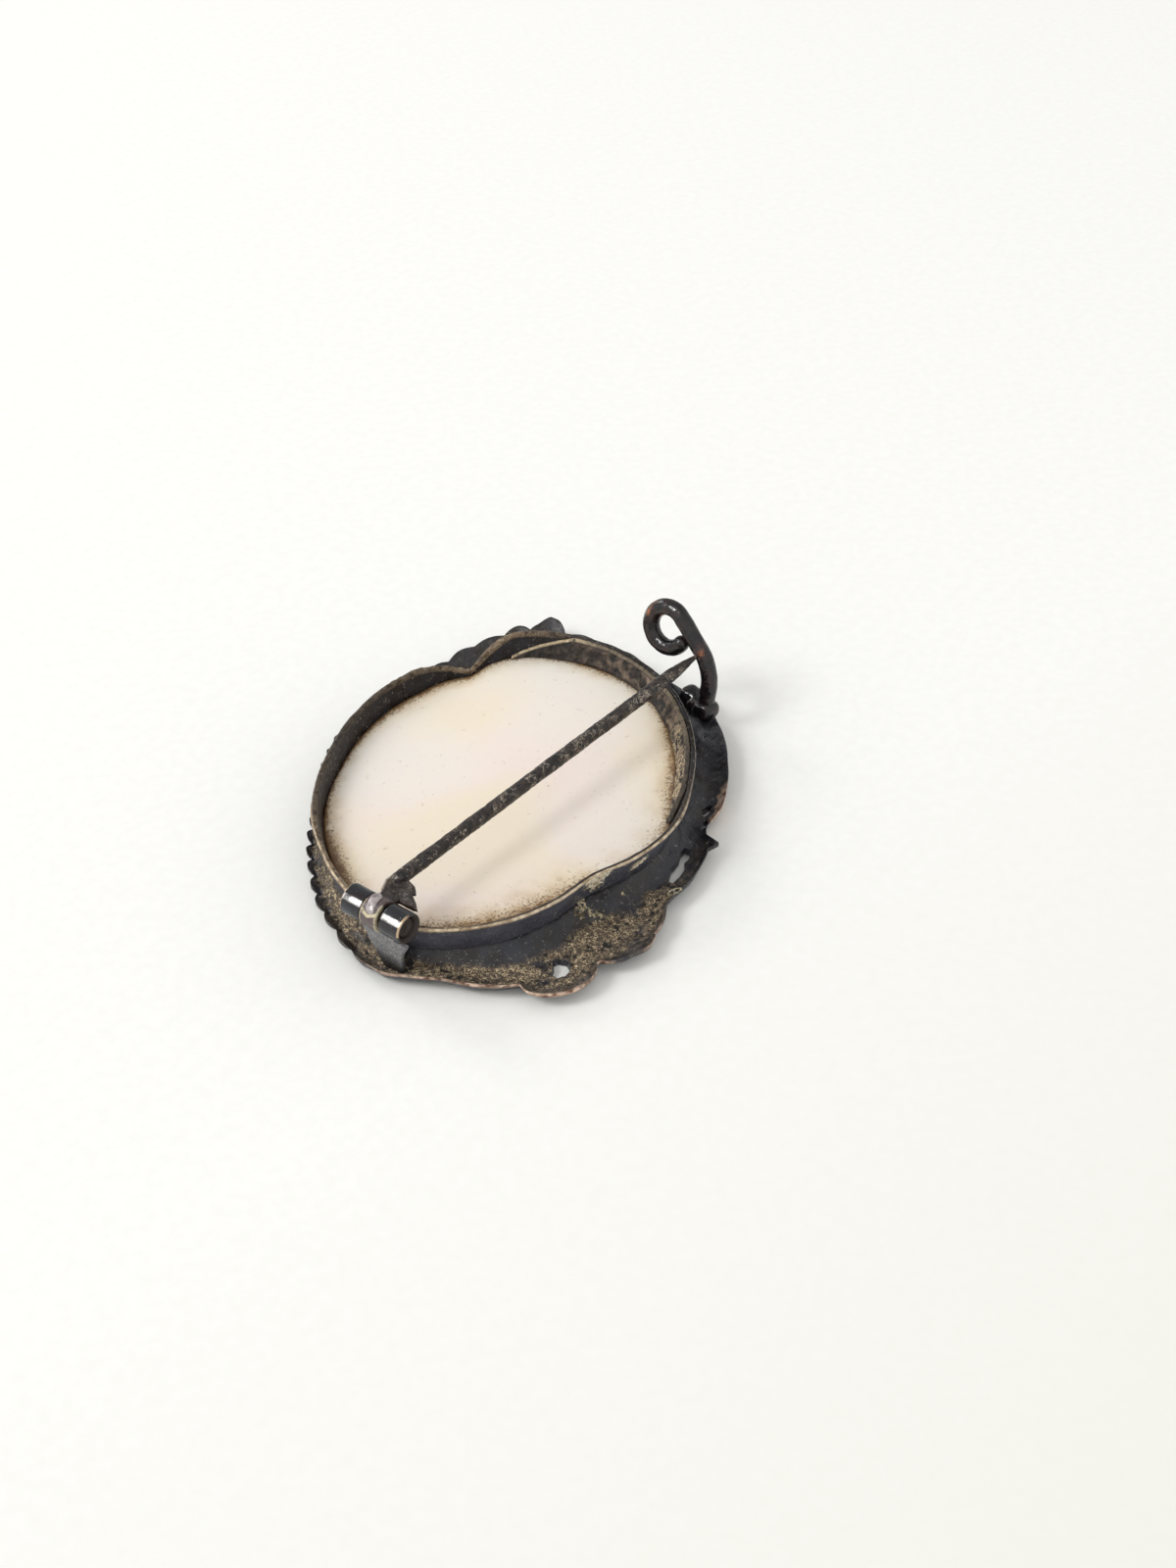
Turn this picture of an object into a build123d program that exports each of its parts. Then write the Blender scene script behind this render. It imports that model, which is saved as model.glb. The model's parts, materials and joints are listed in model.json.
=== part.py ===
"""An old brooch lying face down: a shell plaque in a stamped mount, with its hinge, pin and catch.

Millimetres, +Z up, and +X runs along the pin from its hinge to its catch. The origin is on the table
under the middle of the brooch. Angles are in degrees round the collar's centre, from +X towards +Y.
"""

import os
from math import cos, pi, radians, sin, tan

from build123d import *

# Collar: the upright strip that holds the plaque
COLLAR_LENGTH = 37.6
COLLAR_X = -0.985
COLLAR_Y = 0.79
COLLAR_WALL = 0.42
COLLAR_FLARE = 1.15
FOOT_HEIGHT = 1.9
RIM_HEIGHT = 4.5

# Pinch: the place where the collar is bent in and crushed low
PINCH_ANGLE = 49.5
PINCH_DEPTH = 1.3
PINCH_DROP = 1.5
PINCH_STEEP_SIDE = 12.0
PINCH_GENTLE_SIDE = 19.0
PINCH_CURVE = 1.3
PINCH_UPRIGHT = 0.8

# Stamped border round the collar
BORDER_WIDTH = 6.0
BORDER_SHEET = 0.55
EDGE_SHEET = 0.25
EDGE_RISE = 0.85
FULL_HOLLOW = 2.4
SCALLOP_COUNT = 54
SCALLOP_DEPTH = 0.35
FLUTE_DEPTH = 0.3

# Lip in front of the plaque, and the plaque on it
LIP_WIDTH = 1.4
LIP_HEIGHT = 0.95
LIP_SHEET = 0.4
PLAQUE_THICKNESS = 1.75
PLAQUE_DOME = 0.6
FIT = 0.06

# Strip that holds the plaque in, leaning on the collar's wall on one side
STRIP_SHEET = 0.35
STRIP_DROP = 0.05
STRIP_TOE = 0.15
STRIP_START = 38.0
STRIP_FULL = 22.0
STRIP_FADE = -50.0
STRIP_END = -72.0
STRIP_STEP = 2.0

# Hinge: two knuckles on a plate, the pin's strap between them, and a rivet through all three
HINGE_ANGLE = 194.5
HINGE_OUTSET = 0.38
HINGE_STANDOFF = 0.8
PLATE_OUTSET = 0.8
PLATE_THICKNESS = 0.4
PLATE_FOOT_WIDTH = 1.7
PLATE_FOOT_INSET = 0.7
PLATE_UNDER_FIRST = 0.34
KNUCKLE_RADIUS = 1.1
KNUCKLE_ROUNDING = 0.09
RIVET_RADIUS = 0.7
RIVET_RECESS = 0.25
RIVET_ROUNDING = 0.14
RUNNING_FIT = 0.05
FIRST_KNUCKLE = 1.7
STRAP_WIDTH = 1.4
LAST_KNUCKLE = 1.75
FIRST_GAP = 0.1
LAST_GAP = 0.3
SWING_GAP = 0.15

# Pin: a strap round the rivet, its tab, a torn sheet and a round stem with a point
STRAP_SHEET = 0.4
TAB_LENGTH = 0.85
TAB_ROUNDING = 0.63
ROOT_SHEET = 0.45
ROOT_LENGTH = 1.95
ROOT_WIDTH = 3.9
ROOT_OVERHANG = 0.65
ROOT_SLOPE = 0.45
PIN_OFFSET = 0.5
PIN_RADIUS = 0.48
PIN_TAPER = 3.2
TAPER_RADIUS = 0.34
POINT_RADIUS = 0.14
PIN_RISE = 0.6
PIN_LEAN = 0.4

# Catch: one bent wire on a soldered foot
CATCH_ANGLE = 344.3
CATCH_PLACE = 0.95
CATCH_LEAN = 10.0
WIRE_RADIUS = 0.6
SHAFT_HEIGHT = 1.8
BEND_RADIUS = 4.0
BEND_TURN = 47.5
SLOPE_LENGTH = 2.8
CURL_RADIUS = 1.65
CURL_TURN = 272.0
POINT_GAP = 0.2
SOLDER_RADIUS = 0.68
KNOB_ANGLE = 350.0
KNOB_RADIUS = 0.85

# Collar's outline: angle, and reach as a share of half the collar's length
OUTLINE = [
    (0, 0.927), (14, 0.980), (28, 0.999), (36, 0.987), (43, 0.936), (50, 0.880), (58, 0.838),
    (68, 0.797), (80, 0.766), (96, 0.727), (116, 0.704), (134, 0.728), (150, 0.776), (165, 0.832),
    (178, 0.899), (188, 0.955), (198, 0.991), (207, 0.977), (220, 0.915), (232, 0.838), (246, 0.748),
    (260, 0.749), (280, 0.752), (302, 0.741), (318, 0.766), (334, 0.816), (348, 0.878),
]

# How far the collar's wall leans out: angle, and share of its full flare
FLARES = [
    (0, 0.85), (25, 1.0), (48, 0.9), (60, 0.6), (80, 0.5), (115, 0.4), (135, 0.4), (160, 0.6),
    (185, 0.8), (210, 1.0), (340, 1.0),
]

# Border's width past the collar's outline: angle, and share of the border's width
WIDTHS = [
    (0, 0.38), (14, 0.54), (26, 0.68), (41, 0.76), (50, 0.67), (58, 0.52), (75, 0.40), (92, 0.34),
    (110, 0.24), (128, 0.10), (147, 0.09), (160, 0.12), (170, 0.18), (180, 0.20), (190, 0.26),
    (196, 0.26), (201, 0.20), (208, 0.22), (214, 0.34), (219, 0.44), (223, 0.49), (231, 0.60),
    (239, 0.68), (247, 0.73), (254, 0.70), (259, 0.55), (264, 0.37), (276, 0.32), (289, 0.27),
    (297, 0.19), (306, 0.33), (322, 0.43), (340, 0.50),
]

# Height of the border's edge over its trough: angle, and share of the edge's rise
RISES = [(0, 1.6), (30, 1.3), (55, 1.0), (180, 1.0), (300, 1.0), (335, 1.6)]

# How deep the edge's scallops and the front's flutes are: angle, and share of their full depth
SCALLOPS = [
    (0, 0.0), (20, 0.3), (50, 0.6), (62, 1.0), (185, 1.0), (200, 0.0), (238, 0.0), (250, 0.5), (262, 0.0),
]

# Leaves that stand out of the border: angle, half width, share of the border's width, roundness
LEAVES = [
    (231.0, 8.0, 0.27, 2.0),
    (247.5, 7.0, 0.14, 2.0),
    (291.0, 3.0, 0.13, 1.0),
    (37.5, 2.5, 0.10, 1.5),
    (31.0, 3.6, 0.32, 1.4),
]

# Holes through the border: angle, share of the way to the edge, length, width, turn from the edge
HOLES = [
    (232.6, 0.63, 1.6, 1.1, 80.0),
    (281.0, 0.43, 3.4, 0.85, 5.0),
]

# Border's back: share of the way from the collar's foot to the edge, and share of the edge's rise
BORDER_BACK = [(0.30, 0.30), (0.58, 0.0), (0.84, 0.42), (1.0, 1.0)]

# Torn side of the pin's sheet: share of its length, and share of its width
TORN_SIDE = [(1.0, 0.28), (0.93, 0.41), (0.86, 0.51), (0.62, 0.64), (0.51, 0.60), (0.22, 0.82), (0.0, 0.95)]

SECTION_COUNT = 3 * SCALLOP_COUNT
DOME_RINGS = 4

half_length = COLLAR_LENGTH / 2
trough_height = BORDER_SHEET
plaque_front = LIP_HEIGHT + FIT
plaque_back = plaque_front + PLAQUE_THICKNESS


def smooth(table, angle):
    """Value at an angle, on a smooth closed curve through a table of (angle, value) rows."""
    count = len(table)
    index = max(i for i in range(count) if table[i][0] <= angle % 360)

    def row(i):
        turns, place = divmod(i, count)
        return table[place][0] + 360 * turns, table[place][1]

    (a0, v0), (a1, v1), (a2, v2), (a3, v3) = (row(index + step) for step in (-1, 0, 1, 2))
    span = a2 - a1
    leaving = (v2 - v0) / (a2 - a0) * span
    arriving = (v3 - v1) / (a3 - a1) * span
    t = (angle % 360 - a1) / span
    value = v1 * (2 * t**3 - 3 * t**2 + 1) + leaving * (t**3 - 2 * t**2 + t)
    return value + v2 * (3 * t**2 - 2 * t**3) + arriving * (t**3 - t**2)


def turn_from(angle, centre):
    """Signed difference between two angles, from -180 to 180."""
    return (angle - centre + 180) % 360 - 180


def pinch(angle):
    """How strongly the collar is pinched here, from 0 to 1."""
    away = turn_from(angle, PINCH_ANGLE)
    side = PINCH_GENTLE_SIDE if away > 0 else PINCH_STEEP_SIDE
    return max(0.0, 1 - abs(away) / side) ** PINCH_CURVE


def rim_reach(angle):
    """Distance from the collar's centre to the outside of its rim."""
    return half_length * smooth(OUTLINE, angle) - PINCH_DEPTH * pinch(angle) ** 2


def rim_height(angle):
    """Height of the collar's rim above the table."""
    return RIM_HEIGHT - PINCH_DROP * pinch(angle)


def foot_reach(angle):
    """Distance from the collar's centre to the outside of its foot."""
    flare = COLLAR_FLARE * smooth(FLARES, angle) * (1 - PINCH_UPRIGHT * pinch(angle))
    return rim_reach(angle) - flare


def inner_reach(angle, height):
    """Distance from the collar's centre to the inside of its wall at a height."""
    rise = max(0.0, height - FOOT_HEIGHT) / (rim_height(angle) - FOOT_HEIGHT)
    foot = foot_reach(angle)
    return foot + (rim_reach(angle) - foot) * rise - COLLAR_WALL


def scallop(angle):
    """Fullness of the scallop here, from 0 in the nick between two to 1."""
    return abs(sin(pi * angle * SCALLOP_COUNT / 360))


def scallop_loss(angle):
    """Share of the full scallop that is missing here, which is 0 where the edge is smooth."""
    return max(0.0, smooth(SCALLOPS, angle)) * (1 - scallop(angle))


def leaf_reach(angle):
    """How far a leaf stands out of the border here."""
    reach = 0.0
    for centre, half_width, share, roundness in LEAVES:
        away = min(1.0, abs(turn_from(angle, centre)) / half_width)
        reach += BORDER_WIDTH * share * (1 - away**roundness) ** (1 / roundness)
    return reach


def border_reach(angle, share):
    """Distance from the collar's centre to a place between the collar's foot and the border's edge."""
    foot = foot_reach(angle)
    plain_edge = half_length * smooth(OUTLINE, angle) + BORDER_WIDTH * smooth(WIDTHS, angle)
    plain_edge -= SCALLOP_DEPTH * scallop_loss(angle)
    return foot + share * (plain_edge - foot) + share**3 * leaf_reach(angle)


def back_height(angle, rise):
    """Height of the border's back, where rise is 0 in its trough and 1 at its edge."""
    edge_height = trough_height + EDGE_RISE * smooth(RISES, angle)
    hollow = min(1.0, BORDER_WIDTH * smooth(WIDTHS, angle) / FULL_HOLLOW)
    return edge_height - (1 - rise) * hollow * (edge_height - trough_height)


def at(angle, reach, height):
    """Point at an angle, a distance from the collar's centre and a height."""
    return Vector(COLLAR_X + reach * cos(radians(angle)), COLLAR_Y + reach * sin(radians(angle)), height)


def mount_section(angle):
    """Closed section of the collar, its border and its lip at one angle, from the rim outwards."""
    rim = rim_reach(angle)
    foot = foot_reach(angle)
    wall = foot - COLLAR_WALL
    back = [(border_reach(angle, share), back_height(angle, rise)) for share, rise in BORDER_BACK]
    edge, edge_height = back[-1]
    sheet = BORDER_SHEET - FLUTE_DEPTH * scallop_loss(angle)
    front = [(edge, edge_height - EDGE_SHEET)]
    front += [(reach, height - sheet) for reach, height in reversed(back[:-1])]
    lip = [(wall - LIP_WIDTH, LIP_HEIGHT - LIP_SHEET), (wall - LIP_WIDTH, LIP_HEIGHT)]
    section = [(rim - COLLAR_WALL, rim_height(angle)), (rim, rim_height(angle)), (foot, FOOT_HEIGHT)]
    section += back + front + lip + [(wall, LIP_HEIGHT), (wall, FOOT_HEIGHT)]
    return [at(angle, reach, height) for reach, height in section]


def plaque_loops():
    """Loops of the plaque's outside, from its back edge round to the last loop of its domed front."""
    angles = [360 * i / SECTION_COUNT for i in range(SECTION_COUNT)]
    loops = []
    for height in (plaque_back, FOOT_HEIGHT, plaque_front):
        loops.append([at(angle, inner_reach(angle, height) - FIT, height) for angle in angles])
    for i in range(DOME_RINGS):
        share = 1 - i / DOME_RINGS
        height = plaque_front - PLAQUE_DOME * (1 - share**2)
        dome = [share * (inner_reach(angle, plaque_front) - LIP_WIDTH - FIT) for angle in angles]
        loops.append([at(angle, reach, height) for angle, reach in zip(angles, dome)])
    return loops


def strip_section(angle):
    """Closed section of the retaining strip, which is low at both its ends."""
    bottom = plaque_back + FIT
    start = (STRIP_START - angle) / (STRIP_START - STRIP_FULL)
    end = (angle - STRIP_END) / (STRIP_FADE - STRIP_END)
    low = bottom + STRIP_TOE
    top = low + (rim_height(angle) - STRIP_DROP - low) * max(0.0, min(1.0, start, end))
    corners = [(bottom, 0), (bottom, STRIP_SHEET), (top, STRIP_SHEET), (top, 0)]
    return [at(angle, inner_reach(angle, height) - FIT - inset, height) for height, inset in corners]


def flat_face(corners):
    """Flat face with these corners."""
    return Face(Wire.make_polygon(corners, close=True))


def bridge(first, second):
    """Triangles between two closed loops of as many points."""
    faces = []
    for i in range(len(first)):
        j = (i + 1) % len(first)
        faces.append(flat_face([first[i], first[j], second[j]]))
        faces.append(flat_face([first[i], second[j], second[i]]))
    return faces


def faceted_ring(sections):
    """Solid ring through sections that follow each other all the way round."""
    faces = []
    for i, section in enumerate(sections):
        faces += bridge(section, sections[(i + 1) % len(sections)])
    return Solid(Shell(faces))


def faceted_run(sections):
    """Solid through sections that follow each other, closed by its flat first and last section."""
    faces = [flat_face(sections[0]), flat_face(sections[-1])]
    for first, second in zip(sections, sections[1:]):
        faces += bridge(first, second)
    return Solid(Shell(faces))


# Where the hinge, the catch and the pin stand
hinge_middle = at(HINGE_ANGLE, rim_reach(HINGE_ANGLE), RIM_HEIGHT + HINGE_STANDOFF)
hinge_x = hinge_middle.X - HINGE_OUTSET
hinge_z = hinge_middle.Z
hinge_length = FIRST_KNUCKLE + FIRST_GAP + STRAP_WIDTH + LAST_GAP + LAST_KNUCKLE
hinge_start = hinge_middle.Y + hinge_length / 2
first_end = hinge_start - FIRST_KNUCKLE
strap_start = first_end - FIRST_GAP
strap_end = strap_start - STRAP_WIDTH
last_start = strap_end - LAST_GAP
hinge_end = last_start - LAST_KNUCKLE
bore_radius = RIVET_RADIUS + RUNNING_FIT
strap_radius = bore_radius + STRAP_SHEET
swing_radius = max(strap_radius, KNUCKLE_RADIUS) + SWING_GAP

catch_foot = at(CATCH_ANGLE, border_reach(CATCH_ANGLE, CATCH_PLACE), back_height(CATCH_ANGLE, 1))
knob_place = at(KNOB_ANGLE, border_reach(KNOB_ANGLE, CATCH_PLACE), back_height(KNOB_ANGLE, 1))
catch_normal = (cos(radians(CATCH_LEAN)), 0, -sin(radians(CATCH_LEAN)))
catch_plane = Plane(catch_foot, x_dir=(0, 1, 0), z_dir=catch_normal)

pin_z = hinge_z + PIN_OFFSET
sheet_x = hinge_x + swing_radius
sheet_y = strap_start + ROOT_OVERHANG
stem_start = Vector(sheet_x + ROOT_LENGTH / 2, sheet_y - PIN_RADIUS, pin_z)
point_z = pin_z + PIN_RISE
wire_x = catch_foot.X + (point_z - catch_foot.Z) * tan(radians(CATCH_LEAN))
point_x = wire_x - WIRE_RADIUS / cos(radians(CATCH_LEAN)) - POINT_GAP
stem_point = Vector(point_x, stem_start.Y - PIN_LEAN, point_z)
stem_length = (stem_point - stem_start).length
stem_axis = (stem_point - stem_start).normalized()
stem_plane = Plane(stem_start, x_dir=stem_axis, z_dir=stem_axis.cross(Vector(0, 0, 1)))


def across_hinge(y):
    """Plane across the hinge's line at y, with its centre on the line and its normal along -Y."""
    return Plane((hinge_x, y, hinge_z), x_dir=(1, 0, 0), z_dir=(0, -1, 0))


os.makedirs("parts", exist_ok=True)

# Plate that carries the hinge, from the border's trough up to the knuckles
with BuildPart() as plate:
    trough_share = BORDER_BACK[1][0]
    foot_height = back_height(HINGE_ANGLE, 0) - BORDER_SHEET / 2
    foot_x = at(HINGE_ANGLE, border_reach(HINGE_ANGLE, trough_share), foot_height).X - hinge_x
    wall_x = HINGE_OUTSET + COLLAR_WALL / 2
    plate_length = PLATE_UNDER_FIRST + first_end - hinge_end
    with BuildSketch(across_hinge(hinge_end + plate_length)):
        with BuildLine():
            Polyline(
                (-PLATE_OUTSET, 0),
                (0, 0),
                (wall_x, RIM_HEIGHT - hinge_z),
                (wall_x + COLLAR_FLARE, FOOT_HEIGHT - hinge_z),
                (foot_x + PLATE_THICKNESS, foot_height - hinge_z),
                (foot_x, foot_height - hinge_z),
                close=True,
            )
        make_face()
    extrude(amount=plate_length)
    with BuildSketch(Plane((hinge_x, hinge_end, 0), x_dir=(0, 1, 0), z_dir=(1, 0, 0))):
        with BuildLine():
            Polyline(
                (PLATE_FOOT_INSET, foot_height),
                (PLATE_FOOT_INSET + PLATE_FOOT_WIDTH, foot_height),
                (plate_length, RIM_HEIGHT),
                (plate_length, hinge_z),
                (0, hinge_z),
                (0, RIM_HEIGHT),
                close=True,
            )
        make_face()
    extrude(amount=COLLAR_LENGTH, both=True, mode=Mode.INTERSECT)

# Knuckles that stay with the plate
with BuildPart() as knuckles:
    for start, length in ((hinge_start, FIRST_KNUCKLE), (last_start, LAST_KNUCKLE)):
        with BuildSketch(across_hinge(start)):
            Circle(KNUCKLE_RADIUS)
        extrude(amount=length)
    fillet(knuckles.edges().filter_by(GeomType.CIRCLE), KNUCKLE_ROUNDING)

# Catch: a wire that rises, leans over and curls back, with the solder round its foot
with BuildPart() as catch:
    with BuildLine(catch_plane):
        shaft = Line((0, -EDGE_SHEET), (0, SHAFT_HEIGHT))
        bend = JernArc(shaft @ 1, shaft % 1, BEND_RADIUS, -BEND_TURN)
        slope = Line(bend @ 1, (bend @ 1) + (bend % 1) * SLOPE_LENGTH)
        curl = JernArc(slope @ 1, slope % 1, CURL_RADIUS, -CURL_TURN)
    with BuildSketch(Plane(shaft @ 0, z_dir=shaft % 0)):
        Circle(WIRE_RADIUS)
    sweep()
    with Locations(curl @ 1):
        Sphere(WIRE_RADIUS)
    with BuildSketch(Plane(catch_foot, z_dir=knob_place - catch_foot)):
        Circle(SOLDER_RADIUS)
    extrude(amount=(knob_place - catch_foot).length)
    with Locations(catch_foot):
        Sphere(SOLDER_RADIUS)
    with Locations(knob_place):
        Sphere(KNOB_RADIUS)

# Everything that is cut from the mount
with BuildPart() as cuts:
    for angle, share, length, width, turn in HOLES:
        across = radians(angle + 90 - turn)
        place = at(angle, border_reach(angle, share), 0)
        with BuildSketch(Plane(place, x_dir=(cos(across), sin(across), 0))):
            SlotOverall(length, width)
        extrude(amount=FOOT_HEIGHT)
    with BuildSketch(across_hinge(hinge_start)):
        Circle(bore_radius)
    extrude(amount=hinge_length)
    with BuildSketch(across_hinge(first_end)):
        Circle(swing_radius)
    extrude(amount=first_end - last_start)

with BuildPart() as mount:
    add(faceted_ring([mount_section(360 * i / SECTION_COUNT) for i in range(SECTION_COUNT)]))
    add([plate.part, knuckles.part, catch.part])
    add(cuts.part, mode=Mode.SUBTRACT)
mount.part.label = "mount"
export_step(mount.part, "parts/mount.step")

# Plaque: flat back, straight sides and a domed front that rests on the lip
with BuildPart() as plaque:
    loops = plaque_loops()
    faces = [flat_face(loops[0])]
    for first, second in zip(loops, loops[1:]):
        faces += bridge(first, second)
    top = at(0, 0, plaque_front - PLAQUE_DOME)
    for i, corner in enumerate(loops[-1]):
        faces.append(flat_face([corner, loops[-1][i - 1], top]))
    add(Solid(Shell(faces)))
plaque.part.label = "shell_plaque"
export_step(plaque.part, "parts/shell_plaque.step")

with BuildPart() as strip:
    step_count = round((STRIP_START - STRIP_END) / STRIP_STEP)
    angles = [STRIP_START + (STRIP_END - STRIP_START) * i / step_count for i in range(step_count + 1)]
    add(faceted_run([strip_section(angle) for angle in angles]))
strip.part.label = "retaining_strip"
export_step(strip.part, "parts/retaining_strip.step")

with BuildPart() as pin:
    # Strap round the rivet, whose end lies on top as a rounded tab
    with BuildSketch(across_hinge(strap_start)):
        Circle(strap_radius)
        with Locations((0, PIN_OFFSET - ROOT_SHEET / 2)):
            Rectangle(swing_radius, ROOT_SHEET, align=(Align.MIN, Align.MIN))
    extrude(amount=STRAP_WIDTH)
    with BuildSketch(Plane((hinge_x, strap_start - STRAP_WIDTH / 2, hinge_z + strap_radius))) as tab:
        Rectangle(TAB_LENGTH, STRAP_WIDTH, align=(Align.MIN, Align.CENTER))
        fillet(tab.vertices().group_by(Axis.X)[-1], TAB_ROUNDING)
    extrude(amount=-STRAP_SHEET)
    with BuildSketch(across_hinge(strap_start)):
        Circle(bore_radius)
    extrude(amount=STRAP_WIDTH, mode=Mode.SUBTRACT)
    # Sheet with one straight side and one torn side
    with BuildSketch(Plane((sheet_x, sheet_y, pin_z - ROOT_SHEET / 2))):
        with BuildLine():
            torn = [(length * ROOT_LENGTH, -width * ROOT_WIDTH) for length, width in TORN_SIDE]
            Polyline((0, -ROOT_SLOPE), (ROOT_LENGTH / 2, 0), (ROOT_LENGTH, 0), *torn, close=True)
        make_face()
    extrude(amount=ROOT_SHEET)
    # Stem with a rounded start and a drawn point
    with BuildSketch(stem_plane):
        with BuildLine():
            profile = RadiusArc((-PIN_RADIUS, 0), (0, PIN_RADIUS), PIN_RADIUS)
            Polyline(
                profile @ 1,
                (stem_length - PIN_TAPER, PIN_RADIUS),
                (stem_length - PIN_TAPER / 2, TAPER_RADIUS),
                (stem_length, POINT_RADIUS),
                (stem_length, 0),
                profile @ 0,
            )
        make_face()
    revolve(axis=Axis(stem_start, stem_axis))
pin.part.label = "pin"
export_step(pin.part, "parts/pin.step")

with BuildPart() as rivet:
    with BuildSketch(across_hinge(hinge_start - RIVET_RECESS)):
        Circle(RIVET_RADIUS)
    extrude(amount=hinge_length - 2 * RIVET_RECESS)
    fillet(rivet.edges().filter_by(GeomType.CIRCLE), RIVET_ROUNDING)
rivet.part.label = "hinge_rivet"
export_step(rivet.part, "parts/hinge_rivet.step")
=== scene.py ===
"""Old oval brooch lying face down on paper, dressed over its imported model.

Sizes are in millimetres and become metres where a mesh is made. +Z is up, and +X runs along the pin from
its hinge to its catch. Angles are in degrees round the collar's centre, from +X towards +Y.
"""

import json
import logging
from dataclasses import dataclass, field
from enum import Enum
from math import cos, pi, radians, sin

import bmesh
import bpy
import numpy as np
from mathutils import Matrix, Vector, noise


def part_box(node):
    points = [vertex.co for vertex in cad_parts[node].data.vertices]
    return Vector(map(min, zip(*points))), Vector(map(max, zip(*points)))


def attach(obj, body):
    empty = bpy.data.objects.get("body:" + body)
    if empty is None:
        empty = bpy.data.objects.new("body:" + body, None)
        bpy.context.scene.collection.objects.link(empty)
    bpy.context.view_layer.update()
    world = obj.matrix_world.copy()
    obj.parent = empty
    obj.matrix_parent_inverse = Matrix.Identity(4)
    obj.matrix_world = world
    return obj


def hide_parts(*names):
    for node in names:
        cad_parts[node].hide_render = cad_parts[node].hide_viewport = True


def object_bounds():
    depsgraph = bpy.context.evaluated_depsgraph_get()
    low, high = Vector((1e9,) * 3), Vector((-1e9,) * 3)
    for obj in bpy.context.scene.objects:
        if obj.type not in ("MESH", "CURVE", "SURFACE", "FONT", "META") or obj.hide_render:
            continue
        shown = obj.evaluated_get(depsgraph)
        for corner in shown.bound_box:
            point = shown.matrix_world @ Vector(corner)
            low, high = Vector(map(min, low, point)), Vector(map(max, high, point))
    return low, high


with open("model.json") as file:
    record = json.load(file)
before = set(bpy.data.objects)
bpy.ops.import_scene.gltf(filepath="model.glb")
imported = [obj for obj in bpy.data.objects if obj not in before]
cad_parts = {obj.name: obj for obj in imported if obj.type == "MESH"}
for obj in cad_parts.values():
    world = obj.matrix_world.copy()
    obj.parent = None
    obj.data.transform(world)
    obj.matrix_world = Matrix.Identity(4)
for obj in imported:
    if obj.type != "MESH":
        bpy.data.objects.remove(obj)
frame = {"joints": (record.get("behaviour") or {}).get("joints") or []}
model_box = [list(corner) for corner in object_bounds()]

Array = np.ndarray
Table = tuple[tuple[float, float], ...]
Socket = bpy.types.NodeSocket
Link = Socket | float | str | tuple[float, ...]
Links = dict[str | int, Link]

log = logging.getLogger("brooch")

METRES = 0.001
BOX_MARGIN = 2e-6


class Body(Enum):
    """The bodies of the model that pieces ride on."""

    BROOCH = "brooch"
    PIN = "pin"


class Mark(Enum):
    """What is painted on a mesh's points, each in one channel of a colour attribute."""

    BARE = 0
    CRUST = 1
    SHADE = 2
    FLAKE = 3


def smooth(table: Table, angles: Array) -> Array:
    """Works out a smooth closed curve through a table.

    Args:
        table: rows of angle and value, in order, from an angle of 0.
        angles: where the curve is wanted, in degrees.

    Returns:
        The curve's value at each angle.
    """
    rows = np.array(table, float)
    rows = np.concatenate([rows[-2:] - (360, 0), rows, rows[:3] + (360, 0)])
    places = np.asarray(angles, float) % 360
    index = np.searchsorted(rows[:, 0], places, side="right") - 1
    a0, a1, a2, a3 = (rows[index + step, 0] for step in (-1, 0, 1, 2))
    v0, v1, v2, v3 = (rows[index + step, 1] for step in (-1, 0, 1, 2))
    span = a2 - a1
    leaving = (v2 - v0) / (a2 - a0) * span
    arriving = (v3 - v1) / (a3 - a1) * span
    t = (places - a1) / span
    value = v1 * (2 * t**3 - 3 * t**2 + 1) + leaving * (t**3 - 2 * t**2 + t)
    return value + v2 * (3 * t**2 - 2 * t**3) + arriving * (t**3 - t**2)


def through(knots: Array, values: Array, places: Array) -> Array:
    """Works out smooth curves through values at knots, one curve for each row of values.

    Args:
        knots: the places where the values stand, in order.
        values: one row of values for each curve.
        places: where each curve is wanted.

    Returns:
        One row for each curve, with its value at each place.
    """
    slopes = np.gradient(values, knots, axis=1)
    i = np.clip(np.searchsorted(knots, places, side="right") - 1, 0, len(knots) - 2)
    span = knots[i + 1] - knots[i]
    t = (places - knots[i]) / span
    start = values[:, i] * (2 * t**3 - 3 * t**2 + 1) + slopes[:, i] * span * (t**3 - 2 * t**2 + t)
    return start + values[:, i + 1] * (3 * t**2 - 2 * t**3) + slopes[:, i + 1] * span * (t**3 - t**2)


def turn_from(angles: Array, centre: float) -> Array:
    """Signed difference between angles and one angle, from -180 to 180."""
    return (np.asarray(angles, float) - centre + 180) % 360 - 180


def step_up(values: Array, low: float, high: float) -> Array:
    """Smooth step from 0 at low to 1 at high."""
    t = np.clip((values - low) / (high - low), 0, 1)
    return t * t * (3 - 2 * t)


def lumps(points: Array, size: float, seed: float = 0.0) -> Array:
    """Works out smooth noise over points.

    Args:
        points: places in millimetres, in an array whose last axis is x, y and z.
        size: the width of a lump, in millimetres.
        seed: moves the pattern, so that two patterns differ.

    Returns:
        Values from about -1 to 1, one for each point.
    """
    places = (points.reshape(-1, 3) / size + seed).tolist()
    return np.array([noise.noise(place) for place in places]).reshape(points.shape[:-1])


def normals_of(points: Array) -> Array:
    """Unit normals of a grid of points, from its neighbouring rows and columns."""
    across = np.gradient(points, axis=0)
    along = np.gradient(points, axis=1)
    normals = np.cross(across, along)
    return normals / np.maximum(np.linalg.norm(normals, axis=-1, keepdims=True), 1e-9)


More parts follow.
